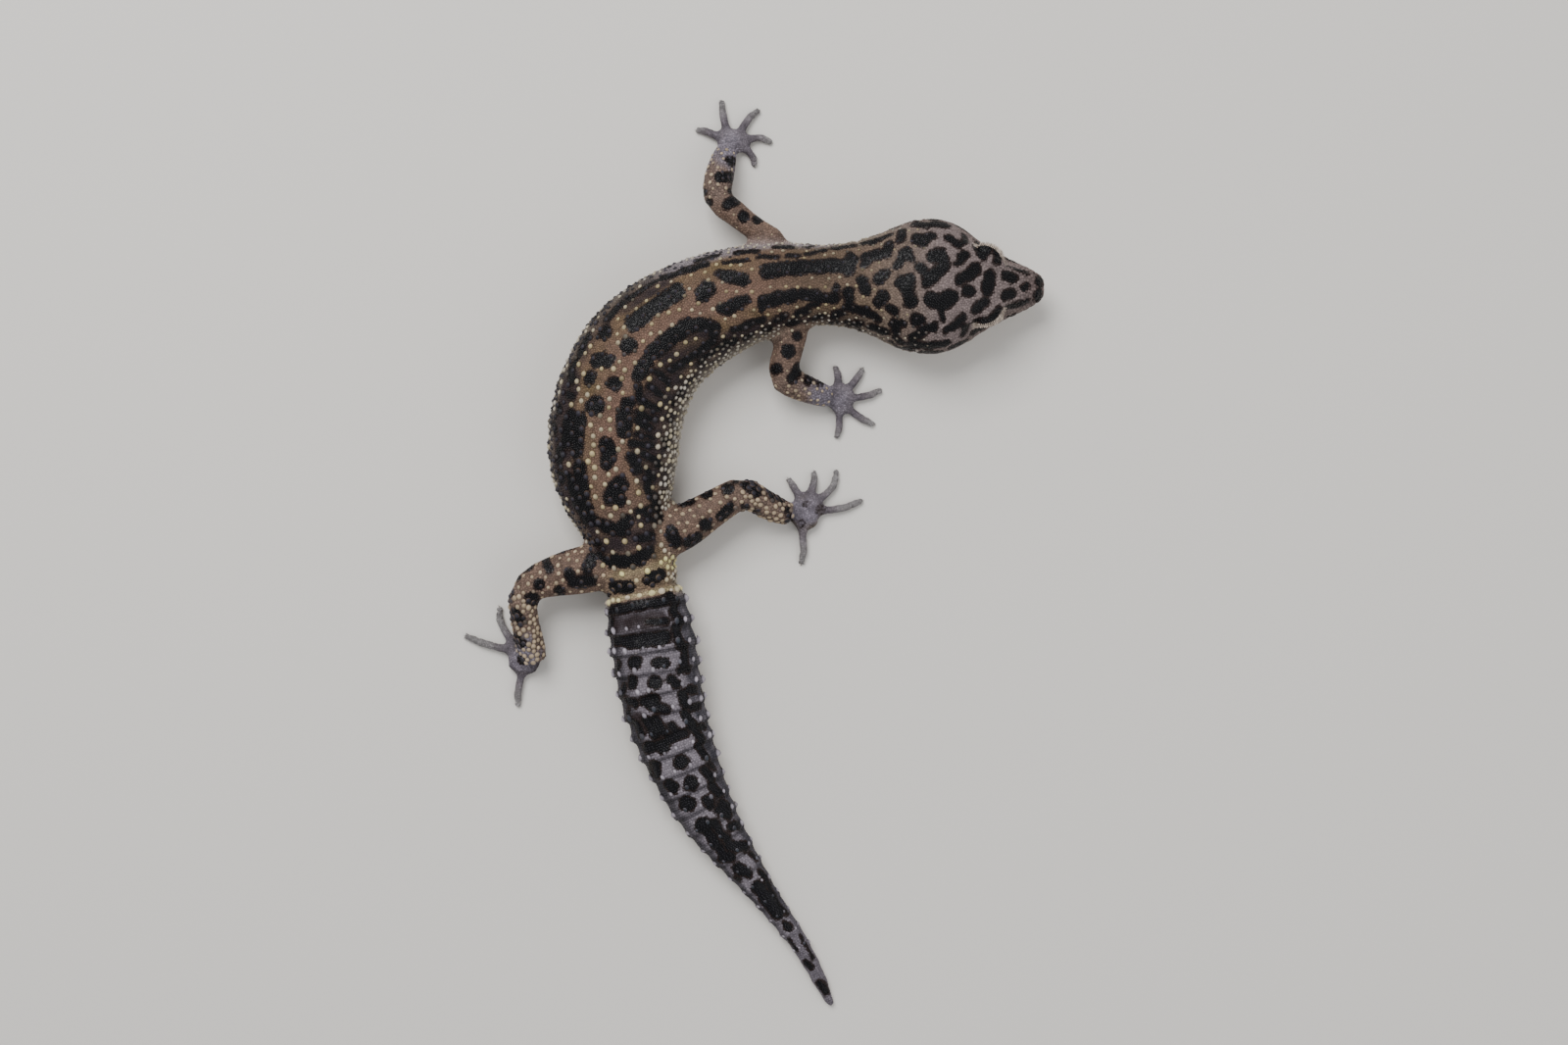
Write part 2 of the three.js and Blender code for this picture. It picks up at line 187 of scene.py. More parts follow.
body = {
    "midline": [
        (55.2, 50.3), (42.9, 50.3), (28.0, 50.6), (14.1, 51.0), (5.7, 50.5), (-1.8, 49.0), (-10.9, 45.4),
        (-19.8, 39.1), (-24.9, 30.5), (-26.9, 20.3), (-25.8, 10.8), (-23.5, 2.9), (-21.4, -6.4),
        (-19.5, -16.5), (-17.2, -29.5), (-13.4, -40.8), (-9.2, -49.8), (-2.3, -60.1), (6.2, -71.9),
        (10.5, -78.6), (15.1, -88.0),
    ],
    # s, half width, level of the top, level of the widest place
    "sections": [
        (0, 1.7, 8.4, 6.9), (2.9, 3.8, 10.7, 7.3), (8.3, 6.4, 13.3, 7.7), (16.5, 11.6, 16.1, 8.0),
        (22, 12.8, 16.4, 8.1), (28, 11.7, 15.8, 7.9), (36, 8.6, 14.3, 7.4), (41.2, 7.8, 13.8, 7.1),
        (50, 8.9, 14.6, 6.9), (67, 10.9, 15.9, 6.3), (78, 12.1, 16.3, 6.2), (98.5, 12.7, 15.9, 6.2),
        (108, 10.9, 15.0, 6.1), (116.3, 8.1, 13.8, 5.9), (124, 7.1, 12.4, 5.7), (131, 8.2, 12.6, 5.7),
        (138, 8.5, 12.4, 5.6), (153, 7.9, 11.1, 5.0), (169, 6.2, 9.0, 4.1), (186.5, 3.5, 5.7, 2.6),
        (204, 1.8, 3.3, 1.5), (216.4, 0.35, 1.1, 0.7),
    ],
    "tailStart": 126.2,
    "whorlLength": (4.1, 3.6),  # at the tail's base and at its tip
}


def midlineSamples(perSpan=40):
    p = np.array(body["midline"])
    p = np.vstack([2 * p[0] - p[1], p, 2 * p[-1] - p[-2]])
    step = np.sqrt(np.linalg.norm(np.diff(p, axis=0), axis=1))[:, None]
    t = np.linspace(0, 1, perSpan, endpoint=False)[:, None]
    rows = []
    for i in range(1, len(p) - 2):
        a, b, c = step[i - 1], step[i], step[i + 1]
        start = b * ((p[i] - p[i - 1]) / a - (p[i + 1] - p[i - 1]) / (a + b)) + p[i + 1] - p[i]
        end = p[i + 1] - p[i] - b * (p[i + 2] - p[i]) / (b + c) + b * (p[i + 2] - p[i + 1]) / c
        rows.append(
            p[i] + start * t
            + (3 * (p[i + 1] - p[i]) - 2 * start - end) * t**2
            + (2 * (p[i] - p[i + 1]) + start + end) * t**3
        )
    rows.append(p[-2:-1])
    return np.vstack(rows)


spine = midlineSamples()
spineAlong = unit(np.gradient(spine, axis=0))
spineS = np.concatenate([[0], np.cumsum(np.linalg.norm(np.diff(spine, axis=0), axis=1))])
sectionTable = np.array(body["sections"])


def section(s):  # half width, level of the top, level of the widest place
    return [np.interp(s, sectionTable[:, 0], sectionTable[:, i]) for i in (1, 2, 3)]


def midlineAt(s):  # a place on the midline and the way to the animal's right there
    index = np.abs(spineS - s).argmin()
    return spine[index], np.array([-spineAlong[index][1], spineAlong[index][0]])


def bodyCoordinates(points):
    nearest = np.empty(len(points), int)
    batch = 4000  # keeps the table of distances small
    for i in range(0, len(points), batch):
        away = points[i : i + batch, None, :2] - spine[None]
        nearest[i : i + batch] = (away**2).sum(2).argmin(1)
    offset = points[:, :2] - spine[nearest]
    along = spineAlong[nearest]
    s = spineS[nearest] + (offset * along).sum(1)
    v = offset[:, 1] * along[:, 0] - offset[:, 0] * along[:, 1]
    width, top, middle = section(s)
    angle = np.arctan2(v / width, (points[:, 2] - middle) / (top - middle))
    return s, v, angle, angle * (width + top - middle) / 2


def whorlBorders():
    borders = [body["tailStart"]]
    while borders[-1] < spineS[-1] - 4:
        share = (borders[-1] - body["tailStart"]) / (spineS[-1] - body["tailStart"])
        base, tip = body["whorlLength"]
        borders.append(borders[-1] + base + (tip - base) * share)
    return np.array(borders)


whorls = whorlBorders()

skinPlan = {
    "voxel": 0.48,
    "overlap": 0.22,  # each solid is swollen by this much first, which closes the gaps between them
    "coatDepth": {"trunk": 0.33, "head": 0.13, "leg": 0.16, "toe": -0.05},
    "socketFill": 0.45,  # the sockets are filled by a ball this much larger than the eye
    "evening": 7,  # rounds that smooth out the voxels
    "borderRounds": 7,  # how far body, legs, feet and toes shade into each other
    "softRounds": 42,  # the same for their colours
    "joinReach": 21,
    "joinRounds": 18,
    "inside": (0.02, 0.05),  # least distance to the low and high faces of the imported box
}
eyes = {
    "sides": {"left": -1, "right": 1},
    "ahead": 0.48,  # the way an eye looks, as shares forward, outward and up
    "outward": 0.9,
    "upward": {"left": 0.08, "right": 0.12},
    "slitFall": 0.12,  # the slit's front end is the lower one
    "halfLength": 2.8,
    "halfOpening": 1.3,
    "lidThickness": 0.34,
    "drop": 0.3,  # the opening's middle lies this far below the eye's
    "brow": 0.62,  # how far the upper lid's edge stands out over the eye
}
face = {
    "mouthLine": [(0, 7.0), (4, 6.88), (8, 6.91), (12, 7.15), (15.4, 7.5)],  # s and level
    "nostril": (1.9, 2.55, 8.75),  # s, distance from the midline, level
    "ear": (24.2, 8.6),  # s and level
    "earHalf": (0.75, 1.7),  # half its length and height
    "earSide": 9,  # it lies farther from the midline than this
}
kinds = ("body", "upper", "lower", "foot", "toe")
limbNames = ["front_left", "front_right", "hind_right", "hind_left"]


def kindOf(node):
    if "toe" in node:
        return "toe"
    if "foot" in node:
        return "foot"
    if any(part in node for part in ("forearm", "shin")):
        return "lower"
    if any(part in node for part in ("upper_arm", "thigh")):
        return "upper"
    return "body"


flesh = [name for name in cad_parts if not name.startswith("eye")]
fleshKinds = np.array([kindOf(name) for name in flesh])


def boxMiddle(node):
    low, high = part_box(node)
    return np.array((low + high) / 2) * metre


def eyeBall(side):  # centre and radius
    low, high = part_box(f"eye_{side}")
    return boxMiddle(f"eye_{side}"), (high - low)[2] / 2 * metre


def eyeAxes(side):  # along the slit, up across it, and the way the eye looks
    forward, outward = np.array([1, 0, 0]), np.array([0, -eyes["sides"][side], 0])
    up = np.array([0, 0, 1])
    gaze = unit(eyes["ahead"] * forward + eyes["outward"] * outward + eyes["upward"][side] * up)
    slit = forward - eyes["slitFall"] * up
    slit = unit(slit - gaze * (slit @ gaze))
    return slit, np.cross(gaze, slit) * eyes["sides"][side], gaze


def almond(points, side):  # 1 on the edge of the lids' opening, less inside, and the distance from the eye
    centre, _ = eyeBall(side)
    slit, across, gaze = eyeAxes(side)
    away = points - centre
    a = np.abs(away @ slit) / eyes["halfLength"]
    b = np.abs(away @ across + eyes["drop"]) / eyes["halfOpening"]
    ahead = away @ gaze
    return np.where(ahead > 0.5, (a**1.7 + b**2) ** (1 / 1.85), 9), np.linalg.norm(away, axis=1)


def browAlong(a):  # the upper lid stands out most at the eye's rear end
    return np.interp(a, [-2.6, 2.6], [1, 0.08])


def browShare(points, side):  # how far the upper lid stands out, and the lower lid not at all
    slit, across, _ = eyeAxes(side)
    away = points - eyeBall(side)[0]
    return rise(away @ across, -0.4, 0.6) * browAlong(away @ slit)


def mouthLevel(s):
    return np.interp(s, *np.array(face["mouthLine"]).T)


def fromNostril(s, v, z):
    nostrilS, nostrilV, nostrilZ = face["nostril"]
    return np.hypot(np.hypot(s - nostrilS, np.abs(v) - nostrilV), z - nostrilZ)


def fromEar(s, z):  # 1 at the edge of the upright opening
    return np.hypot((s - face["ear"][0]) / face["earHalf"][0], (z - face["ear"][1]) / face["earHalf"][1])


def rawSkin():
    copies = []
    for name in flesh:
        copy = bpy.data.objects.new("part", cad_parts[name].data.copy())
        copy.matrix_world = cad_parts[name].matrix_world
        bpy.context.collection.objects.link(copy)
        selectOnly(copy)
        bpy.ops.object.transform_apply(location=True, rotation=True, scale=True)
        bpy.ops.object.mode_set(mode="EDIT")
        bpy.ops.mesh.select_all(action="SELECT")
        bpy.ops.mesh.remove_doubles(threshold=1e-6)
        bpy.ops.object.mode_set(mode="OBJECT")
        applied(copy, "DISPLACE", strength=skinPlan["overlap"] / metre, mid_level=0)
        copies.append(copy)
    for side in eyes["sides"]:  # fills the sockets, which are pressed in again later
        centre, radius = eyeBall(side)
        bpy.ops.mesh.primitive_uv_sphere_add(
            segments=24, ring_count=16, radius=(radius + skinPlan["socketFill"]) / metre,
            location=Vector(centre) / metre)
        copies.append(bpy.context.object)
    selectOnly(*copies)
    bpy.ops.object.join()
    item = bpy.context.object
    item.name = item.data.name = "skin"
    bpy.ops.object.transform_apply(location=True, rotation=True, scale=True)
    item.data.materials.clear()
    applied(item, "REMESH", mode="VOXEL", voxel_size=skinPlan["voxel"] / metre, use_smooth_shade=True)
    return item


def toeTips():  # the foremost place of each toe and the way it points, in the plan view
    found = []
    for name in flesh:
        if "toe" in name:
            solid = pointsOf(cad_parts[name].data)
            foot = boxMiddle(name.split("_toe")[0] + "_foot")
            away = np.linalg.norm((solid - foot)[:, :2], axis=1)
            tip = solid[away.argmax()]
            back = solid[(away < away.max() - 1.1) & (away > away.max() - 2.4)].mean(0)
            found.append((tip, unit((tip - back)[:2])))
    return found


def refineFace(item):  # a finer mesh at the eyes, mouth, nostrils, ears and toe tips
    mesh = item.data
    centres = rowsOf(mesh.polygons, "center", 3).astype(float) * metre
    ahead = np.nonzero(centres[:, 0] > body["midline"][0][0] - 28)[0]
    near = centres[ahead]
    s, v, _, _ = bodyCoordinates(near)
    fine = (np.abs(near[:, 2] - mouthLevel(s)) < 0.75) & (s < 16.2) & (np.abs(v) < 16)
    for side in eyes["sides"]:
        ring, distance = almond(near, side)
        fine |= (ring < 1.9) & (distance < 5)
    fine |= fromNostril(s, v, near[:, 2]) < 1.1
    byEar = np.hypot((s - face["ear"][0]) / 0.6, near[:, 2] - face["ear"][1]) < 2.4
    fine |= byEar & (np.abs(v) > face["earSide"])
    chosen = np.zeros(len(mesh.polygons), bool)
    chosen[ahead[fine]] = True
    for tip, _ in toeTips():
        chosen |= np.linalg.norm(centres - tip, axis=1) < 2.0
    selectOnly(item)
    bpy.ops.object.mode_set(mode="EDIT")
    bpy.ops.mesh.select_mode(type="FACE")
    bpy.ops.mesh.select_all(action="DESELECT")
    bpy.ops.object.mode_set(mode="OBJECT")
    mesh.polygons.foreach_set("select", chosen)
    bpy.ops.object.mode_set(mode="EDIT")
    bpy.ops.mesh.subdivide(number_cuts=2)
    bpy.ops.object.mode_set(mode="OBJECT")
    mesh.polygons.foreach_set("use_smooth", np.ones(len(mesh.polygons), bool))


skin = rawSkin()
setPoints(skin.data, evened(pointsOf(skin.data), edgesOf(skin.data), skinPlan["evening"]))
refineFace(skin)
skinEdges = edgesOf(skin.data)
skinPoints = evened(pointsOf(skin.data), skinEdges, 3)
setPoints(skin.data, skinPoints)
print("skin closed:", len(skinPoints), "points")


def nearestNodes(points):  # for each point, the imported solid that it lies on
    corners, faces, owner = [], [], []
    for index, name in enumerate(flesh):
        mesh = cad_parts[name].data
        triangles = trianglesOf(mesh)
        faces.append(triangles + sum(len(part) for part in corners))
        corners.append(pointsOf(mesh))
        owner.append(np.full(len(triangles), index))
    tree = BVHTree.FromPolygons(np.vstack(corners).tolist(), np.vstack(faces).tolist())
    return np.concatenate(owner)[[tree.find_nearest(point)[2] for point in points.tolist()]]


skinNode = nearestNodes(skinPoints)
skinKind = fleshKinds[skinNode]


def shareOf(kind, rounds):  # 1 on one kind of solid, 0 on the others, smooth over their border
    return spread((skinKind == kind).astype(float), skinEdges, rounds)


region = {kind: shareOf(kind, skinPlan["borderRounds"]) for kind in kinds}
soft = {kind: spread(share, skinEdges, skinPlan["softRounds"]) for kind, share in region.items()}
print("skin regions found")


def sinkSkin(points):  # makes room for the coat
    s, _, _, _ = bodyCoordinates(points)
    depth = skinPlan["coatDepth"]
    headShare = (1 - rise(s, 26, 36)) * region["body"]
    tipShare = rise(s, 185, 212) * region["body"]
    down = blend(depth["trunk"], depth["head"], headShare)
    down = blend(down, depth["leg"], (region["upper"] + region["lower"]).clip(0, 1))
    down = blend(down, depth["toe"], (region["foot"] + region["toe"] + 0.7 * tipShare).clip(0, 1))
    return points - normalsOf(skin.data) * (down + skinPlan["overlap"])[:, None]


def softenJoins(points):  # fills the creases where limbs, feet and toes meet
    join = 0
    for kind in kinds:
        share = shareOf(kind, skinPlan["joinReach"])
        join = np.maximum(join, 4 * share * (1 - share))
    join = np.where(join > 0.2, join, 0)[:, None]
    for _ in range(skinPlan["joinRounds"]):
        points = points + 0.9 * join * (spread(points, skinEdges, 1) - points)
    return points


# Each toe ends round, short of its claw's tip.
toeEnd = {"radius": 0.53, "level": 0.5, "short": 0.25, "reach": 1.7}


def roundToes(points):
    points = points.copy()
    for tip, way in toeTips():
        near = np.nonzero(np.linalg.norm(points - tip, axis=1) < toeEnd["reach"])[0]
        offset = points[near] - np.array([tip[0], tip[1], toeEnd["level"]])
        behind = -(offset[:, :2] @ way)
        near, offset, behind = [part[behind < 1.5] for part in (near, offset, behind)]
        first = behind.min()
        share = 1 - rise(behind, 0.9, 1.5)
        moved = behind + (toeEnd["short"] - first) * share  # slides the end to where it belongs
        inEnd = np.clip((moved - toeEnd["short"]) / toeEnd["radius"], 0, 1)
        wanted = toeEnd["radius"] * np.sqrt(1 - (1 - inEnd) ** 2)
        sideways = offset[:, 0] * -way[1] + offset[:, 1] * way[0]
        radial = np.hypot(sideways, offset[:, 2])
        scale = 1 + (wanted / np.maximum(radial, 0.05) - 1) * share
        scale = np.where(radial < 0.05, 1, scale)
        plan = tip[:2] - moved[:, None] * way + (sideways * scale)[:, None] * np.array([-way[1], way[0]])
        points[near] = np.column_stack([plan, toeEnd["level"] + offset[:, 2] * scale])
    return points


skinPoints = roundToes(softenJoins(sinkSkin(skinPoints)))
setPoints(skin.data, skinPoints)


def waves(points, size, seed):  # smooth noise between about -1 and 1, with forms about this size
    random = np.random.default_rng(seed)
    total = np.zeros(len(points))
    for _ in range(7):
        direction = unit(random.normal(size=3)) * 2 * math.pi / size * random.uniform(0.6, 1.4)
        total += np.sin(points @ direction + random.uniform(0, 2 * math.pi))
    return total / 2.6


folds = {
    "lip": 0.11,
    "mouthDepth": 0.34,
    "whorlGroove": 0.2,
    "whorlSwell": 0.02,
    "flankFold": 0.2,
    "bendWrinkle": 0.13,
    "neckWrinkle": 0.1,
    "unevenness": 0.06,
    "ventPinch": 0.35,
}


def shapeBody(points):  # folds, wrinkles and the tail's rings, as heights along the normals
    s, _, angle, g = bodyCoordinates(points)
    isBody = region["body"]
    side = np.abs(angle)
    height = folds["unevenness"] * waves(points, 5, 3) * rise(s, 12, 30) * (isBody + 0.5 * region["upper"])
    height += 0.03 * waves(points, 2.2, 4) * isBody
    # a shallow trough down the spine with the back's muscles beside it
    back = rise(s, 36, 46) * (1 - rise(s, 116, 128))
    height += back * (0.14 * hump(np.abs(g), 3, 1.8) - 0.14 * hump(g, 0, 1.3))
    # the fold along each flank, and the ribs' wrinkles on the inside of the bend
    height -= folds["flankFold"] * hump(side, 1.5, 0.12) * rise(s, 54, 62) * (1 - rise(s, 104, 112))
    bend = rise(angle, 0.5, 1.0) * rise(s, 58, 66) * (1 - rise(s, 100, 108))
    height += folds["bendWrinkle"] * bend * np.sin(2 * math.pi * (s + 0.5 * waves(points, 6, 5)) / 2.7)
    neck = rise(side, 0.55, 1.0) * rise(s, 30, 34) * (1 - rise(s, 46, 54))
    height += folds["neckWrinkle"] * neck * np.sin(2 * math.pi * (s + 0.4 * waves(points, 4, 6)) / 1.9)
    # the tail's rings
    inTail = rise(s, 125.4, 127) * (1 - rise(s, 206, 214)) * isBody
    slim = np.clip(section(s)[0] / 8, 0.3, 1)
    border = whorls[np.abs(s[:, None] - whorls).argmin(1)] + 0.18 * np.sin(3 * angle + s)
    height -= folds["whorlGroove"] * slim * inTail * hump(s, border, 0.42)
    phase = np.clip((s - whorls[(np.searchsorted(whorls, s) - 1).clip(0)]) / 4, 0, 1)
    height += folds["whorlSwell"] * slim * inTail * (phase - 0.4)
    # the vent's pinch between body and tail
    height -= folds["ventPinch"] * hump(s, body["tailStart"], 1.0) * isBody
    return points + normalsOf(skin.data) * (height * isBody)[:, None]


def shapeHead(points):
    normals = normalsOf(skin.data)
    s, v, angle, _ = bodyCoordinates(points)
    z, side = points[:, 2], np.abs(v)
    onHead = region["body"] * (1 - rise(s, 27, 32))
    height = -0.22 * hump(side, 0, 1.5) * hump(s, 11, 4.5)  # furrow between the eyes
    height -= 0.3 * hump(s, 6.2, 2.2) * hump(np.abs(angle), 1.05, 0.28)  # hollow before the eye
    height += 0.12 * hump(s, 5, 4) * hump(np.abs(angle), 0.62, 0.14)  # ridge from eye to nostril
    height += 0.25 * hump(s, 20.5, 4) * hump(np.abs(angle), 1.25, 0.3)  # jaw muscle
    level = z - mouthLevel(s)
    front = 1 - rise(s, 14.6, 15.9)
    height += folds["lip"] * (hump(level, 0.6, 0.4) + hump(level, -0.6, 0.4)) * front
    height -= folds["mouthDepth"] * hump(level, 0, 0.15) * front
    away = fromNostril(s, v, z)
    height += 0.1 * hump(away, 0.62, 0.25) - 0.5 * hump(away, 0, 0.34)
    away, outside = fromEar(s, z), side > face["earSide"]
    height += outside * (0.16 * hump(away, 1.35, 0.3) - 0.9 * (1 - rise(away, 0.6, 1.1)))
    points = points + normals * (height * onHead)[:, None]
    for name in eyes["sides"]:
        centre, radius = eyeBall(name)
        ring, distance = almond(points, name)
        near = ring < 3.2
        hug = 1 - rise(ring, 1.25, 2.6)
        lid = blend(distance, radius + eyes["lidThickness"] - 0.12, hug)
        brow = eyes["brow"] * browShare(points, name)
        lid += 0.14 * hump(ring, 1.2, 0.18) + brow * hump(ring, 1.2, 0.34) - 0.2 * hump(ring, 2.05, 0.22)
        sunk = radius - 0.55
        wanted = np.where(near, blend(sunk, lid, rise(ring, 0.94, 1.05)), distance)
        points = centre + (points - centre) * (wanted / distance)[:, None]
    return points


setPoints(skin.data, shapeBody(skinPoints))
skinPoints = shapeHead(pointsOf(skin.data))
lowest, highest = [np.array(corner) * metre for corner in cadBox]
skinPoints = np.clip(skinPoints, lowest + skinPlan["inside"][0], highest - skinPlan["inside"][1])
setPoints(skin.data, skinPoints)
print("skin shaped:", len(trianglesOf(skin.data)), "triangles")

marking = {
    "growth": 0.2,  # added to each stroke's half width
    "wander": 0.15,  # how far the outlines wander
    "forms": 2.6,  # and over what length
    "flow": 7,  # a lower value lets strokes that meet run together more
    "bare": -4.0,  # far outside any mark
}
# Dark marks are strokes with round ends. On the body: s, g at each end and the stroke's half width.
headMarks = [
    (1.0, -1.6, 1.2, -0.8, 0.75), (1.2, 0.9, 1.3, 2.0, 0.75), (3.9, 0.1, 4.2, 0.4, 0.75),
    (6.6, 1.5, 8.0, 1.8, 0.95), (6.5, -1.4, 7.6, -1.6, 1.05), (3.6, -2.5, 7.9, -4.7, 0.42),
    (3.8, 3.0, 7.9, 5.1, 0.7), (9.3, -6.6, 9.6, -3.7, 0.75), (10.5, -7, 13, -7, 1.2),
    (11.5, -6, 12.3, -5, 1.1), (10.4, 5.2, 9.0, 3.9, 0.55), (12.0, 6.0, 10.4, 5.3, 0.5),
    (13.9, 6.6, 12.0, 6.1, 0.4), (11.8, 2.9, 13.6, 4.1, 0.85), (10.9, -1.3, 11.5, 0.7, 1.15),
    (13.6, -2.4, 16.6, -0.5, 1.0), (14.5, 1.3, 15.4, 1.35, 0.85), (15.6, -4.7, 16.4, -4.3, 0.8),
    (16.6, -3.9, 17.4, -2.9, 0.45), (22.0, -4.0, 20.3, -4.4, 1.0), (20.3, -4.4, 19.6, -2.9, 1.1),
    (19.6, -2.9, 21.6, -0.9, 0.95), (21.6, -0.9, 22.8, -0.2, 1.05), (22.8, -0.9, 24.3, -2.5, 0.75),
    (18.4, 2.4, 19.5, 3.1, 1.35), (20.0, 3.2, 22.2, 2.8, 1.2), (19.9, 3.8, 19.8, 5.7, 0.6),
    (26.0, -0.1, 27.6, -0.1, 1.15), (27.0, 0.5, 25.8, 3.1, 1.25), (17.0, -6.6, 18.9, -7.6, 0.85),
    (22.3, -7.9, 23.6, -7.0, 1.0), (23.8, -6.7, 24.8, -7.2, 1.2), (19.5, -11, 22, -11.2, 1.1),
    (23.2, -10.8, 25, -11.3, 1.1), (15.6, -9.4, 15.9, -7.2, 0.6), (27.6, -9.8, 27.8, -7.2, 0.75),
    (26.6, -4.6, 27.2, -4.4, 1.0), (27.2, -4, 28.7, -2.5, 0.7), (25.8, -3.9, 26.6, -4.4, 0.7),
    (29.9, -6.4, 30.6, -5, 0.85), (30.6, -4.9, 32.6, -4.6, 0.9), (32.6, -5, 34.2, -4.4, 1.2),
    (33.6, -4.2, 34.6, -2.9, 0.75), (30.9, -1.2, 31.8, -0.4, 1.0), (34.9, -0.1, 34.2, 1.5, 1.0),
    (30.8, 2.5, 31.6, 3.3, 1.05), (28.6, 4.9, 29.6, 4.4, 0.8), (23.9, 6, 24.6, 6.2, 1.05),
    (21.4, 7.3, 23.4, 8, 0.9), (23.4, 8.2, 25.2, 9.6, 0.9), (27.2, 6.9, 28.8, 7, 0.75),
    (28.2, 7.2, 28.3, 8.8, 0.85), (27.2, 11.5, 28, 10.2, 0.8), (18.8, 10.6, 22, 11.4, 0.95),
    (22, 11.4, 25, 11.2, 1.2), (15.9, 5.6, 16.9, 6.6, 0.7), (16.6, 6.6, 18.9, 7.9, 0.75),
    (15.3, 7.4, 15.6, 9.3, 0.7), (9.4, 9.4, 13.4, 10.2, 0.7), (9.6, -9.4, 13.2, -10.2, 0.6),
    (15.4, 12.2, 17.4, 12.9, 0.9), (20.2, 14, 22.6, 14.4, 0.95), (25.4, 13.4, 27.2, 14.2, 0.85),
    (15.2, -12.4, 17, -13.2, 0.8), (19.4, -14.2, 21.6, -13.8, 1.0), (24.8, -13.6, 26.4, -14.4, 0.8),
    (5.2, 7.6, 6.6, 8.2, 0.5), (5.4, -7.4, 6.8, -8, 0.5),
]
neckMarks = [
    (37, -4.6, 37.2, -1.8, 0.95), (38.5, -2.9, 52.2, -2.5, 1.35), (40, -3.6, 40, -3.6, 0.8),
    (41.9, -6.6, 45, -5.6, 0.5), (46.8, -5.2, 48.3, -5.4, 0.5), (50.2, -5.2, 53.2, -5.9, 0.45),
    (55.2, -5.4, 59.2, -6.6, 0.42), (47.6, -7.8, 50, -8.2, 0.75), (53.6, -7.6, 56.5, -8.2, 0.7),
    (33, -8.3, 34.5, -8.4, 0.9), (30, -9.2, 31.6, -8.3, 0.6), (36.9, -7.8, 40, -7.4, 0.75),
    (44.2, -8.6, 45.2, -8.2, 0.6), (39.7, 1.2, 39.9, 2.4, 0.65), (37.4, 2.1, 37.1, 3.6, 0.95),
    (39.8, 3.3, 43, 3.1, 0.95), (43, 3, 46.2, 2.3, 1.05), (48.2, 2.5, 54, 2.7, 1.2),
    (54.6, 3.8, 54.6, 3.8, 0.8), (31.6, 6.5, 34, 5.4, 0.75), (34, 5.4, 37.4, 4.9, 0.95),
    (38.8, 6.3, 39.9, 6.9, 1.05), (45.6, 5.6, 47.4, 6.2, 0.85), (43.4, 4.2, 44.8, 4.6, 0.5),
    (50.2, 6.2, 52, 6.9, 0.85), (54.6, 6.1, 57.5, 6, 0.7), (57.5, 6.3, 61.5, 6.4, 0.8),
    (56.6, -1.9, 59.4, -3.5, 1.1), (59, -3.4, 60.2, -4.2, 0.9), (57.4, 1.5, 59, 1.6, 0.85),
    (59.2, 2, 61.4, 2.1, 1.25), (61.6, 1.8, 62.5, 1.7, 0.85), (63.3, -2.6, 64.4, -1.9, 1.45),
    (59.8, -9.2, 63, -9.6, 0.7), (62, -7.4, 66, -8.2, 0.75), (42.5, 7.2, 44, 7.8, 0.7),
    (47.6, 8, 49.6, 8.4, 0.75), (53.4, 8.4, 55, 8.6, 0.7), (35, 8.6, 37, 9, 1.0),
    (30.4, 9.4, 32.4, 8.8, 1.0), (39.6, 9.4, 41, 10, 0.7), (58.4, 8.8, 60, 9.2, 0.7),
]
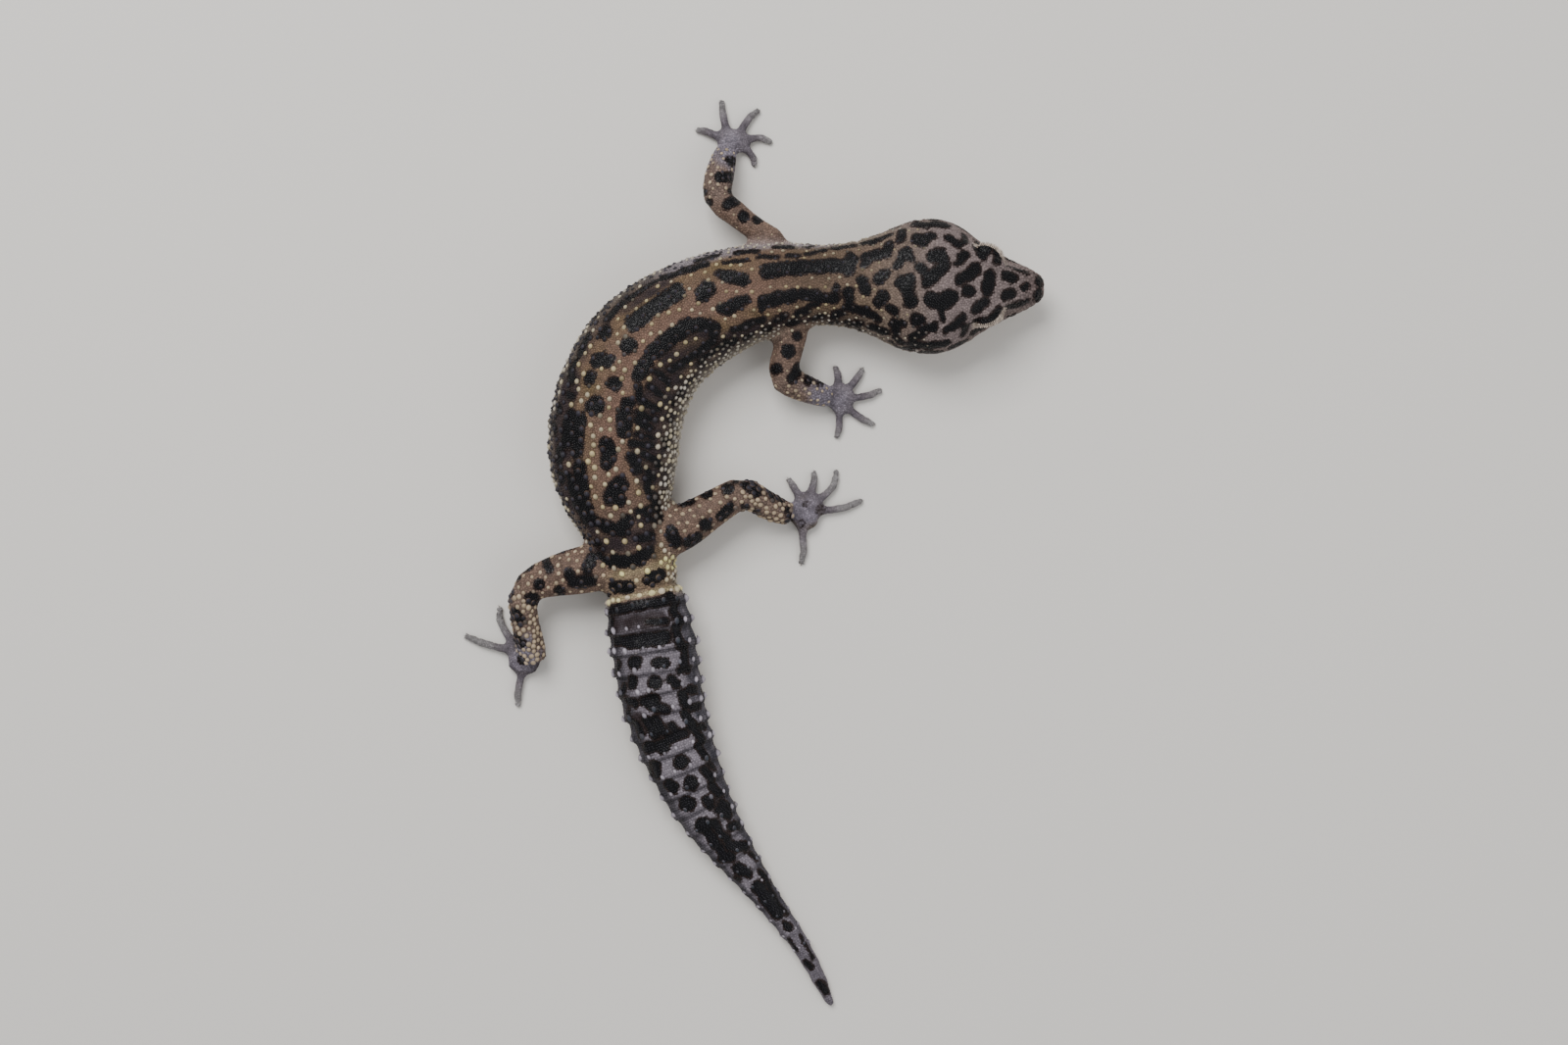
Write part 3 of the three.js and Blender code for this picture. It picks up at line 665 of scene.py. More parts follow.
trunkMarks = [
    (64.5, -8, 69, -8.9, 0.8), (69, -9.2, 72.5, -9.2, 0.6), (73, -9, 75, -9.2, 0.9),
    (76.6, -9.3, 78.6, -9.3, 0.95), (68.8, -4.4, 76.6, -4.2, 1.6), (68, -5.4, 68, -5.4, 0.9),
    (77.2, -5.2, 77.2, -5.2, 0.9), (80.8, -8, 80.8, -6.9, 1.05), (80.2, -2.3, 80.6, -2.4, 1.3),
    (84.9, -5.9, 84.2, -3.9, 1.15), (87.9, -5.7, 87.9, -5.7, 1.15), (87.4, -1.05, 87.4, -1.05, 1.3),
    (92, -3.2, 92, -3.2, 1.65), (82.6, -10.9, 84.8, -10.2, 0.8), (84.8, -10, 87.5, -10.6, 0.7),
    (87.6, -10.4, 89, -9.2, 0.95), (91.2, -9.3, 91.5, -8.1, 0.7), (66, 3.6, 69.5, 2.1, 1.2),
    (69.5, 2.1, 78.6, 1.9, 1.45), (65, 4.6, 66, 5.6, 1.1), (66.5, 6.8, 71, 7.2, 0.9),
    (71, 7.2, 76, 6.9, 0.85), (76, 6.8, 79, 6.2, 0.9), (80.4, 1.9, 84.2, 1.9, 1.2),
    (86.4, 2.9, 88.2, 3.6, 0.8), (81.2, 5.2, 82, 7.2, 0.8), (85, 4.8, 85.6, 7, 0.85),
    (88.8, 4.6, 89.4, 7.4, 0.9), (89.8, 2.1, 93.2, 1.9, 1.15), (93.2, 1.8, 96, 2.4, 1.2),
    (93, 4.4, 94.2, 6.8, 0.95), (98.2, 4, 98.2, 7.2, 0.9), (101, 3.8, 104, 4.6, 1.0),
    (96.5, 10, 98.4, 10.8, 0.7), (102.4, 7.8, 103.6, 8.8, 0.8), (106, 6, 109, 6, 0.7),
    (98.2, -0.5, 99.5, 0, 1.15), (99.4, 0.2, 101, 0.2, 1.0), (100.8, -0.4, 102.2, -0.6, 1.05),
    (105.6, 1.2, 106.6, 1.4, 1.15), (106.8, 0, 109, 0.3, 1.35), (107.6, -1, 108.4, -1.2, 1.0),
    (94.6, -5.6, 99.6, -5.8, 1.2), (94.5, -7.6, 98, -8, 1.3), (99.5, -9.4, 100.2, -9.8, 1.3),
    (102.3, -5.4, 106.5, -5.9, 1.35), (106, -6.4, 109, -5.9, 1.4), (103.5, -7.8, 108, -8.2, 0.9),
    (93.5, -11, 93.5, -11, 1.0), (96.5, -11.5, 96.5, -11.5, 1), (103.3, -10, 103.3, -10, 1.1),
    (62.6, 8.6, 64.8, 8.4, 1.2), (66.5, 8.6, 71, 9, 0.7), (81.6, 3.8, 82.4, 7.4, 0.7),
    (91.4, 4.2, 92, 7.4, 0.7), (96, 4.6, 96.4, 7.6, 0.6), (100.6, 6, 102, 7.8, 0.9),
    (90.6, 10.4, 91.6, 11.2, 0.7), (82.4, 10.6, 83.6, 10.4, 0.6), (86, 9.9, 86.8, 10.4, 0.6),
    (104.6, 6.4, 106, 7.2, 0.8), (108.4, -7.8, 111, -7.6, 0.9),
]
hipMarks = [
    (110.9, -5.5, 113, -3.6, 1.05), (113, -3.6, 114.6, -1.2, 1.2), (114.6, -1, 113.2, 0.8, 1.2),
    (112.2, 3.2, 112.6, 5.5, 0.8), (119.4, -7.4, 120.2, -3.2, 1.25), (120.2, -3.2, 120.8, 0.6, 1.2),
    (120.6, 0.6, 119.6, 3.2, 1.1), (118, -7.2, 118, -7.2, 0.9), (117, 2.2, 117, 4.6, 0.95),
    (125, -5.6, 125.3, -2.4, 1.25), (124.8, 1.9, 124.4, 4.6, 1.05), (110, 6.8, 114, 7.4, 0.9),
    (113.4, 4.4, 114.6, 5.6, 0.7), (109.6, -6.4, 111, -6.2, 1.0), (115.4, -7.6, 116, -6.6, 0.8),
]
tailMarks = [
    (129.2, -7, 129.3, 4.2, 0.95), (132.6, 0.4, 132.9, 3.6, 0.7), (135.3, -7.4, 135.4, -3.6, 1.0),
    (135.8, -3.6, 136, 2.6, 1.35), (139.9, -3.5, 139.9, -3.5, 1.35), (140.4, 0.6, 140.8, 2, 0.95),
    (142.8, -4.6, 143.8, -4.6, 0.95), (144, -0.3, 144, -0.3, 1.3), (144, 2.6, 145.2, 3.4, 0.9),
    (138.4, 6.8, 141.2, 5.2, 0.7), (146.6, -6.4, 147.2, -5, 0.9), (147, -3.2, 148, -1.6, 0.95),
    (148.2, -1.4, 149.6, 0.4, 1.0), (147.4, 4.2, 149.6, 4.2, 0.9), (150.6, -6.2, 152.6, -5.6, 0.95),
    (150.6, -3.6, 153.4, -2.6, 0.9), (151.6, 3.6, 153.8, 4.2, 1.0), (155.4, -5.6, 155.6, -4.2, 1.0),
    (155.6, -2.6, 156.4, -1.8, 1.0), (155, -0.6, 155, 2.4, 1.0), (154.4, 4.4, 157.6, 5.2, 0.8),
    (159, -5, 160.6, -5.4, 1.05), (159.9, 0.1, 159.9, 0.1, 1.5), (163.2, -3.8, 164, -3.2, 1.2),
    (164.4, 0.3, 164.4, 0.3, 1.45), (167.6, -2.6, 167.8, -1.6, 1.3), (168.8, 1.6, 169.8, 1.7, 1.0),
    (158.2, 4.2, 161, 4.6, 0.85), (163.2, 3.6, 165.2, 3.8, 0.9), (166.8, 3.8, 169, 4.2, 0.95),
    (172.6, -1.8, 172.8, -0.8, 1.4), (171.8, 2.8, 173.4, 3.6, 1.1), (174.5, -1.4, 179.6, -1.6, 1.0),
    (173.4, 0.6, 178, 0.8, 0.8), (176, 3, 176.4, 4.2, 0.95), (178.8, 0.6, 180.6, 2.6, 1.1),
    (180, -2.4, 180.6, -0.6, 0.95), (183.4, -0.8, 184.8, 0, 1.3), (182.6, 3.3, 184, 3.6, 0.5),
    (184.5, -2.4, 185.4, -2.3, 0.45), (189, 0.2, 194.6, 0, 1.75), (198.2, 0.3, 198.2, 0.3, 1.1),
    (200.6, -1.4, 203, -1.3, 0.5), (206, -0.6, 207.4, -0.2, 0.65), (201, 1.4, 206, 1.1, 0.3),
    (210.8, 0, 213, 0.2, 0.65), (128.6, 5.4, 130.2, 6.4, 1.0), (131.4, 5.6, 133.6, 6.2, 0.95),
    (131.2, -7.8, 133, -8.2, 0.8), (134.6, 5.4, 137.6, 5.4, 1.1), (139.4, 6.2, 141.4, 5.4, 0.95),
    (142.6, 4.6, 142.8, 6.4, 0.75), (139.6, -7.4, 141, -8.4, 0.8), (144, -6.8, 145.2, -7.8, 0.8),
    (146.8, 5.6, 147.2, 7.4, 0.85), (148.6, -7.4, 149.8, -7, 0.7), (150.6, 5.4, 150.8, 7.6, 0.8),
    (150.8, -1.8, 153.6, -0.9, 0.85), (152.8, 0.6, 154.2, 1.2, 0.7), (154.8, 6, 155.2, 7.2, 0.7),
    (146.4, -1.6, 147, -0.6, 0.6), (158.6, -7.2, 160.4, -7.4, 0.6), (162.8, 5.4, 163.6, 6, 0.6),
    (170.8, 4, 172, 5, 0.75), (186.6, 2.6, 189.4, 2.8, 0.6), (190, 2.4, 196, 2, 0.4),
]
# Mauve-brown clouds, less dark than the marks, in the same measures.
cloudMarks = [
    (68.5, -7.2, 76.5, -7.3, 0.9), (68, 5, 78, 4.6, 1.3), (116.6, -6.4, 117, 2.4, 1.9),
    (132.2, -6.5, 132.4, 2.5, 1.7), (79, 6, 106, 6.2, 2.3), (90, -9.4, 107, -9, 2.4),
    (112, -6.5, 118, -7, 1.2), (113, 3.4, 118, 4, 1.4), (150, -5, 154, 0, 1.5), (56, 7.2, 66, 7.6, 1.2),
    (40, 8, 52, 8, 0.8),
]
# On the upper side of the legs: x, y at each end and the stroke's half width.
legMarks = [
    (-4.5, 74.8, -4.5, 74.8, 1.0), (-6.6, 71.4, -4.6, 71.5, 1.0), (-4.5, 68.9, -4.5, 68.9, 0.5),
    (-5.0, 66.0, -3.8, 66.8, 1.0), (-2.0, 63.75, -2.0, 63.75, 1.1), (0.64, 63.2, 0.64, 63.2, 0.85),
    (-8.6, 66.6, -8.6, 66.6, 0.7), (-9.4, 68.6, -9.4, 68.6, 0.6), (8.2, 41.0, 8.2, 41.0, 0.9),
    (6.5, 38.2, 6.5, 38.2, 1.35), (4.2, 34.9, 4.2, 34.9, 1.05), (8.5, 35.1, 7.2, 33.1, 0.95),
    (10.9, 33.8, 10.3, 32.8, 0.85), (12.6, 32.6, 12.6, 32.6, 0.7), (-13.6, 9.6, -12.2, 9.9, 0.9),
    (-9.06, 11.3, -9.06, 11.3, 1.15), (-4.94, 12.05, -4.94, 12.05, 1.1), (-3.5, 13.5, -3.5, 13.5, 0.5),
    (-1.2, 13, 0.4, 11.6, 1.1), (2.9, 11.6, 3.8, 10.6, 0.65), (5.35, 9.85, 5.35, 9.85, 0.6),
    (6.4, 8.2, 6.7, 6.2, 0.45), (-15.8, 4.0, -14.8, 2.2, 1.2), (-12.4, 1.9, -10.8, 2.9, 1.0),
    (-9.06, 5.3, -9.06, 5.3, 1.2), (-6.3, 6.9, -4.6, 8.6, 0.9), (-1.7, 8.7, -1.7, 8.7, 0.55),
    (0.35, 7.8, 0.35, 7.8, 0.5), (8.9, 5.6, 8.9, 5.6, 0.9), (12.7, 8.1, 12.7, 8.1, 0.9),
    (9.9, 9.3, 9.9, 9.3, 0.6), (-40.6, -6.0, -40.6, -6.0, 1.05), (-39.6, -1.4, -38.6, -3.2, 0.75),
    (-36.8, -7.2, -36.8, -7.2, 0.95), (-34.9, -3.8, -34.2, -5.6, 1.0), (-33.2, -5.6, -30.9, -5.2, 1.1),
    (-31.4, -3.2, -30.6, -0.8, 1.0), (-34, 1.6, -37.6, 0.2, 0.55), (-43.6, -3.2, -42.4, -2.7, 0.5),
    (-44.9, -4.7, -44.9, -4.7, 0.6), (-46.7, -6.4, -46.4, -8.4, 0.8), (-42.1, -8.8, -42.1, -8.8, 1.25),
    (-45.3, -11.6, -44.4, -12.8, 0.95), (-45.4, -16.4, -44.2, -17.4, 0.9),
    (-44.7, -20.7, -44.7, -20.7, 0.9), (-46.5, -13, -46.5, -13, 0.4),
]


def depthInMarks(a, b, marks, growth=0.0):
    # How far inside the nearest stroke a place lies, negative outside. Strokes that meet flow together.
    flow = marking["flow"]
    total = np.full(len(a), math.exp(marking["bare"] * flow))
    for a1, b1, a2, b2, radius in marks:
        near = np.nonzero(
            (a > min(a1, a2) - 5) & (a < max(a1, a2) + 5) & (b > min(b1, b2) - 5) & (b < max(b1, b2) + 5))[0]
        da, db = a2 - a1, b2 - b1
        share = np.clip(((a[near] - a1) * da + (b[near] - b1) * db) / max(da * da + db * db, 1e-9), 0, 1)
        away = np.hypot(a[near] - a1 - share * da, b[near] - b1 - share * db)
        total[near] += np.exp(flow * (radius + growth - away))
    return np.log(total) / flow


def lowerSpots(s, g):  # small random spots low on the sides, thinning out towards the belly
    random = np.random.default_rng(61)
    marks = []
    for side in (-1, 1):
        for along in np.arange(16, 196, 1.9):
            if 55 < along < 62 or 111 < along < 118:
                continue
            half = section(along)
            start = 1.3 * (half[0] + half[1] - half[2]) / 2
            place = (along + random.uniform(-0.8, 0.8), side * (start + random.uniform(0, 3.6)))
            marks.append((*place, place[0] + random.uniform(0, 1.1), place[1], random.uniform(0.25, 0.7)))
    return depthInMarks(s, g, marks)


def markDepths(points):
    s, _, _, g = bodyCoordinates(points)
    warp, forms, growth = marking["wander"], marking["forms"], marking["growth"]
    s = s + warp * waves(points, forms, 11)
    g = g + warp * waves(points, forms, 12)
    onBody = depthInMarks(s, g, headMarks + neckMarks + trunkMarks + hipMarks + tailMarks, growth)
    onBody = np.maximum(onBody, lowerSpots(s, g))
    x = points[:, 0] + 0.5 * warp * waves(points, forms, 13)
    y = points[:, 1] + 0.5 * warp * waves(points, forms, 14)
    onLeg = depthInMarks(x, y, legMarks, growth)
    onLeg = np.where(normalsOf(skin.data)[:, 2] > -0.15, onLeg, marking["bare"])
    onFoot = rise(region["foot"] + region["toe"], 0.4, 0.8)
    onLeg = np.minimum(onLeg, 0.02 + 3 * (1 - onFoot))  # the marks are faint on the feet
    bodyShare = rise(region["body"], 0.35, 0.65)
    return blend(onLeg, onBody, bodyShare), depthInMarks(s, g, cloudMarks) * bodyShare


spot, cloud = markDepths(skinPoints)

palette = {
    "back": "695345", "midBack": "70574b", "backEdge": "66543c", "flank": "837a6f", "belly": "c3b7ad",
    "paintedShade": "262022",  # painted shade on the sides
    "neck": "594a3d", "shoulder": "837c82", "hip": "54453c", "cloud": "2c2224",
    "head": "776a68", "headRear": "6e6055", "snout": "5c4e4b", "cheek": "6d5f5a",
    "lidRim": "b3a598", "mouth": "3a2f2f",
    "hollowShade": "17120f",  # painted shade in the ears and round the eyeballs
    "tailBase": "7c6a56", "paleBand": "b3a680", "tail": "7a737a", "tailSide": "35333a",
    "grooveShade": "2a262b", "tailTip": "645e65",
    "thigh": "8a7161", "shin": "8a7466", "foot": "908995",
    "toe": "938b91", "toeBase": "605a67", "toeEnd": "b0afab",
}


def distanceToFoot(points):  # in the plan view, to the middle of the nearest foot
    middles = [boxMiddle(f"{limb}_foot")[:2] for limb in limbNames]
    return np.min([np.linalg.norm(points[:, :2] - middle, axis=1) for middle in middles], axis=0)


def groundColours(points):
    s, v, angle, g = bodyCoordinates(points)
    side = np.abs(angle)
    normalZ = normalsOf(skin.data)[:, 2]
    ground = np.tile(linear(palette["back"]), (len(points), 1))

    def tint(name, weight):
        ground[:] = blend(ground, linear(palette[name]), np.clip(weight, 0, 1)[:, None])

    tint("midBack", hump(g, 0, 3.2) * rise(s, 40, 60) * 0.8)
    tint("backEdge", hump(np.abs(g), 5.5, 2.6) * (0.55 + 0.45 * waves(points, 6, 21)))
    tint("flank", rise(side, 0.75, 1.25) * 0.85)
    # Painted shade: the sides are darkened, most on the inside of the bend, less on its outside, and not at
    # their lowest part.
    innerSide = rise(g, 4.6, 7.6) * rise(s, 28, 34) * (1 - rise(s, 112, 118))
    outerSide = rise(-g, 7.2, 9.2) * rise(s, 60, 70) * (1 - rise(s, 112, 118))
    lowest = 1 - rise(angle, 1.0, 1.4) - rise(-angle, 1.35, 1.75)
    tint("paintedShade", (0.92 * innerSide + 0.7 * outerSide) * lowest * (0.9 + 0.25 * waves(points, 3.4, 23)))
    tint("neck", rise(s, 32, 38) * (1 - rise(s, 44, 56)) * 0.7)
    tint("shoulder", rise(-g, 6.8, 9.0) * rise(s, 36, 44) * (1 - rise(s, 64, 74)) * 0.75)
    tint("head", 1 - rise(s, 20, 33))
    tint("headRear", hump(s, 30, 6) * 0.7)
    tint("snout", (1 - rise(s, 1.5, 7)) * 0.8)
    tint("cheek", (1 - rise(s, 26, 32)) * rise(side, 0.95, 1.3) * (0.75 + 0.4 * waves(points, 3, 24)))
    tint("hip", hump(s, 115, 6) * 0.7)
    tint("tailBase", hump(s, 124.4, 2.6))
    tint("paleBand", 0.3 * hump(s, 122.7, 0.7) + 0.8 * hump(s, 127.3, 0.34))
    inTail = rise(s, 127.6, 130)
    tint("tail", inTail)
    tint("tailSide", inTail * rise(side, 0.55, 0.95) * (0.9 + 0.25 * waves(points, 2.4, 25)))
    # Painted shade on the tail's left side.
    tint("paintedShade", inTail * rise(-angle, 0.5, 1.0) * 0.35)
    tint("tailTip", rise(s, 188, 208))
    # Painted shade in the grooves between the tail's rings.
    border = whorls[np.abs(s[:, None] - whorls).argmin(1)]
    tint("grooveShade", inTail * hump(s, border, 0.4) * 0.75 * (1 - rise(s, 190, 205)))
    tint("thigh", soft["upper"] * 1.15)
    tint("shin", soft["lower"] * 1.15 / (soft["lower"] + soft["foot"] + soft["toe"] + 0.2))
    for limb in limbNames:
        away = np.linalg.norm((points - boxMiddle(f"{limb}_foot"))[:, :2], axis=1)
        away += 0.9 * waves(points, 4, 26)
        reach = (3.6, 8.4) if "front" in limb else (2.2, 4.2)
        tint("foot", (1 - rise(away, *reach)) * (1 - rise(region["body"], 0.1, 0.5)))
    tint("toe", soft["toe"] * 1.2)
    toFoot = distanceToFoot(points)
    tint("toeBase", 0.55 * region["toe"] * hump(toFoot, 3.4, 1.6))
    tint("toeEnd", 0.6 * region["toe"] * rise(toFoot, 4.4, 8))
    belly = rise(-normalZ, 0.05, 0.55) * (1 - 0.6 * (region["foot"] + region["toe"]))
    tint("belly", belly * 0.9)
    tint("cloud", rise(cloud, -0.6, 0.6) * (0.9 + 0.15 * waves(points, 3, 22)))
    # Painted shade along the slit of the mouth.
    tint("mouth", hump(points[:, 2] - mouthLevel(s), 0, 0.13) * (s < 15.6) * region["body"])
    # Painted shade deep in each ear's opening.
    tint("hollowShade", (1 - rise(fromEar(s, points[:, 2]), 0.7, 1.0)) * (np.abs(v) > face["earSide"] - 0.5))
    for name in eyes["sides"]:
        ring, _ = almond(points, name)
        tint("lidRim", hump(ring, 1.15, 0.17))
        # Painted shade in the socket round the eyeball, under the lids.
        tint("hollowShade", 1 - rise(ring, 0.9, 1.0))
    return ground


ground = groundColours(skinPoints)
eyeRing = np.minimum(almond(skinPoints, "left")[0], almond(skinPoints, "right")[0])
lidShare = 1 - rise(eyeRing, 1.2, 1.32)
spot = spot + marking["bare"] * lidShare
print("markings laid out")


def addNode(tree, kind, settings=None, inputs=None):  # an input is a value, or a socket to link
    node = tree.nodes.new(kind)
    for key, value in (settings or {}).items():
        setattr(node, key, value)
    for key, value in (inputs or {}).items():
        if isinstance(value, bpy.types.NodeSocket):
            tree.links.new(value, node.inputs[key])
        else:
            node.inputs[key].default_value = value
    return node


def newMaterial(name):
    material = bpy.data.materials.new(name)
    material.use_nodes = True
    return material, material.node_tree, material.node_tree.nodes["Principled BSDF"]


def perMillimetre(size):  # a texture's scale for forms of this size
    return metre / size


mixColours = {"data_type": "RGBA", "blend_type": "MIX"}
multiplyColours = {"data_type": "RGBA", "blend_type": "MULTIPLY"}
marksLook = {
    "rim": "221613",  # warm brown-black at a mark's edge
    "core": "08070a",  # blue-black inside
    "edgeSoftness": 0.14,
    "edgeWander": 0.26,
    "edgeForms": 1.0,
    "mottle": 0.8,  # the size of the ground's lighter and darker patches
    "granule": 0.4,
    "gloss": 0.25,  # how much less rough the marks are
}


def skinMaterial(name, roughness, reliefDepth):
    # Dry keratin skin: matt on the pale ground, with a low gloss on the dark marks.
    material, tree, shader = newMaterial(name)
    place = addNode(tree, "ShaderNodeTexCoord").outputs["Object"]
    spotDepth, groundColour, shade = [
        addNode(tree, "ShaderNodeAttribute", {"attribute_name": value}).outputs[output]
        for value, output in (("spot", "Fac"), ("ground", "Color"), ("shade", "Fac"))
    ]
    edgeNoise, patches = [
        addNode(tree, "ShaderNodeTexNoise", inputs={
            "Vector": place, "Scale": perMillimetre(size), "Detail": 2.0, "Roughness": 0.55,
        }).outputs["Fac"]
        for size in (marksLook["edgeForms"], marksLook["mottle"])
    ]
    centred = addNode(tree, "ShaderNodeMath", {"operation": "SUBTRACT"}, {0: edgeNoise, 1: 0.5})
    wander = addNode(
        tree, "ShaderNodeMath", {"operation": "MULTIPLY"},
        {0: centred.outputs[0], 1: marksLook["edgeWander"] * 2})
    depth = addNode(tree, "ShaderNodeMath", {"operation": "ADD"}, {0: spotDepth, 1: wander.outputs[0]})
    depth, soft = depth.outputs[0], marksLook["edgeSoftness"]
    smooth = {"interpolation_type": "SMOOTHSTEP"}
    dark, deep, mottle = [
        addNode(tree, "ShaderNodeMapRange", smooth, {
            "Value": value, "From Min": low, "From Max": high, "To Min": outLow, "To Max": outHigh,
        }).outputs["Result"]
        for value, low, high, outLow, outHigh in (
            (depth, -soft, soft, 0, 1), (depth, soft, 0.5, 0, 1), (patches, 0.3, 0.7, 0.82, 1.16))
    ]
    gloss = addNode(tree, "ShaderNodeMapRange", smooth, {
        "Value": dark, "From Min": 0, "From Max": 1,
        "To Min": roughness, "To Max": roughness - marksLook["gloss"],
    })
    ground = addNode(tree, "ShaderNodeMix", multiplyColours, {0: 1.0, 6: groundColour, 7: mottle})
    marks = addNode(
        tree, "ShaderNodeMix", mixColours,
        {0: deep, 6: opaque(marksLook["rim"]), 7: opaque(marksLook["core"])})
    marked = addNode(
        tree, "ShaderNodeMix", mixColours, {0: dark, 6: ground.outputs[2], 7: marks.outputs[2]})
    colour = addNode(tree, "ShaderNodeMix", multiplyColours, {0: 1.0, 6: marked.outputs[2], 7: shade})
    cells = addNode(
        tree, "ShaderNodeTexVoronoi", {"feature": "SMOOTH_F1"},
        {"Vector": place, "Scale": perMillimetre(marksLook["granule"]), "Smoothness": 0.35})
    relief = addNode(
        tree, "ShaderNodeMath", {"operation": "SUBTRACT"}, {0: 1.0, 1: cells.outputs["Distance"]})
    bump = addNode(
        tree, "ShaderNodeBump",
        inputs={"Strength": 0.55, "Distance": reliefDepth / metre, "Height": relief.outputs[0]})
    tree.links.new(colour.outputs[2], shader.inputs["Base Color"])
    tree.links.new(gloss.outputs["Result"], shader.inputs["Roughness"])
    tree.links.new(bump.outputs["Normal"], shader.inputs["Normal"])
    shader.inputs["Specular IOR Level"].default_value = 0.2
    return material


skinFinish = skinMaterial("dry granular gecko skin", 0.6, 0.12)
scaleFinish = skinMaterial("horny granule scales", 0.5, 0.03)

skinShade = np.full(len(skinPoints), 0.74)  # the skin between the granules lies in their shade
bare = np.maximum(lidShare, rise(-normalsOf(skin.data)[:, 2], 0.7, 0.9))
skinShade += (1 - skinShade) * bare
for name, values in (("spot", spot), ("ground", ground), ("shade", skinShade)):
    setAttribute(skin.data, name, values)
skin.data.materials.append(skinFinish)
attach(skin, "root")
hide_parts(*flesh)

skinNormals = normalsOf(skin.data)
skinTriangles = trianglesOf(skin.data)
skinTree = BVHTree.FromPolygons(skinPoints.tolist(), skinTriangles.tolist())
skinS, skinV, skinAngle, _ = bodyCoordinates(skinPoints)
skinToFoot = distanceToFoot(skinPoints)


def lieOfScales():  # the way each scale points: to the rear on the body, and along the legs and toes
    nearest = np.searchsorted(spineS, skinS).clip(0, len(spineS) - 1)
    lie = np.concatenate([spineAlong[nearest], np.zeros((len(skinPoints), 1))], 1)
    for limb in limbNames:
        foot = boxMiddle(f"{limb}_foot")
        inLimb = np.array([name.startswith(limb) for name in flesh])[skinNode]
        toFoot = unit(foot - skinPoints[inLimb])
        outward = np.isin(skinKind[inLimb], ("foot", "toe"))
        lie[inLimb] = np.where(outward[:, None], -toFoot, toFoot)
    lie -= skinNormals * (lie * skinNormals).sum(1, keepdims=True)
    return unit(lie)


skinLie = lieOfScales()


def unwrapped(node, s, angle, places, window):
    # The unwrap of the skin: the body's pieces as a tube cut open along the belly,
    # and each leg solid, foot and toe as a tube of its own in a grid of cells.
    u = (s - window[0]) / (window[1] - window[0])
    flat = np.stack([u, (angle / math.pi + 1) / 2], 1)
    for cell, index in enumerate(np.nonzero(fleshKinds != "body")[0].tolist()):
        mine = np.nonzero(node == index)[0]
        if not len(mine):
            continue
        solid = pointsOf(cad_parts[flesh[index]].data)
        centre = solid.mean(0)
        axes = np.linalg.svd(solid - centre, full_matrices=False)[2]
        reach = np.abs((solid - centre) @ axes[0]).max()
        local = (places[mine] - centre) @ axes.T
        along = (local[:, 0] / reach + 1) / 2
        turn = (np.arctan2(local[:, 1], local[:, 2]) / math.pi + 1) / 2
        flat[mine] = np.stack([(cell % 8 + along) / 8, (cell // 8 + turn) / 4], 1)
    return flat.clip(0.002, 0.998)


def carried(values, roots):  # a value of the skin at the roots
    corners = values[skinTriangles[roots["face"]]]
    weights = roots["weights"] if values.ndim == 1 else roots["weights"][..., None]
    return (corners * weights).sum(1)


def rootsAt(faces, weights):
    roots = {"face": faces, "weights": weights}
    roots["place"] = carried(skinPoints, roots)
    roots["normal"] = unit(carried(skinNormals, roots))
    roots["lie"] = unit(carried(skinLie, roots))
    roots["node"] = skinNode[skinTriangles[faces, 0]]
    return roots


def rootsBeneath(places):  # the nearest places on the skin
    faces, weights = [], []
    for place in places.tolist():
        nearest, _, index, _ = skinTree.find_nearest(place)
        first, second, third = skinPoints[skinTriangles[index]]
        sides = np.stack([second - first, third - first], 1)
        shares = np.linalg.lstsq(sides, np.array(nearest) - first, rcond=None)[0]
        faces.append(index)
        weights.append([1 - shares.sum(), *shares])
    return rootsAt(np.array(faces), np.array(weights))


def scattered(closeness, seed, taken=(), keep=None):
    # Random places on the skin no nearer to each other than 1 / closeness, and clear of what is taken.
    random = np.random.default_rng(seed)
    first, second, third = skinPoints[skinTriangles].transpose(1, 0, 2)
    areas = np.linalg.norm(np.cross(second - first, third - first), axis=1) / 2
    near = closeness[skinTriangles]
    density = np.where(near.min(1) > 0, 7 * near.mean(1) ** 2, 0)
    faces = np.repeat(np.arange(len(areas)), random.poisson(areas * density))
    shares = random.random((len(faces), 2))
    shares = np.where(shares.sum(1, keepdims=True) > 1, 1 - shares, shares)
    weights = np.stack([1 - shares.sum(1), shares[:, 0], shares[:, 1]], 1)
    if keep is not None:
        kept = keep({"face": faces, "weights": weights})
        faces, weights = faces[kept], weights[kept]
    roots = {"face": faces, "weights": weights}
    places = carried(skinPoints, roots)
    reach = 1 / carried(closeness, roots)
    tree = treeOf(places)
    free = [True] * len(places)
    for place, distance in taken:
        for _, index, _ in tree.find_range(place, distance):
            free[index] = False
    chosen = []
    for index in random.permutation(len(places)).tolist():
        if free[index]:
            chosen.append(index)
            for _, other, _ in tree.find_range(places[index], reach[index]):
                free[other] = False
    return rootsAt(faces[chosen], weights[chosen])


# Each kind of scale is modelled once, about 1 across its half width and 1 high.
def templateOf(item):
    bpy.ops.object.mode_set(mode="OBJECT")
    shape = (pointsOf(item.data) / metre, trianglesOf(item.data))
    bpy.data.objects.remove(item)
    return shape


def editingTop(item, level):  # selects what lies above the level
    bpy.ops.object.mode_set(mode="EDIT")
    bpy.ops.mesh.select_mode(type="VERT")
    bpy.ops.mesh.select_all(action="DESELECT")
    bpy.ops.object.mode_set(mode="OBJECT")
    for vertex in item.data.vertices:
        vertex.select = vertex.co.z > level
    bpy.ops.object.mode_set(mode="EDIT")


def granuleShape():  # a low bead: a five-sided cone with its top cut off
    bpy.ops.object.select_all(action="DESELECT")
    bpy.ops.mesh.primitive_cone_add(vertices=5, radius1=1, radius2=0.6, depth=1, location=(0, 0, 0.5))
    item = bpy.context.object
    bpy.ops.object.transform_apply(location=True)
    return templateOf(item)


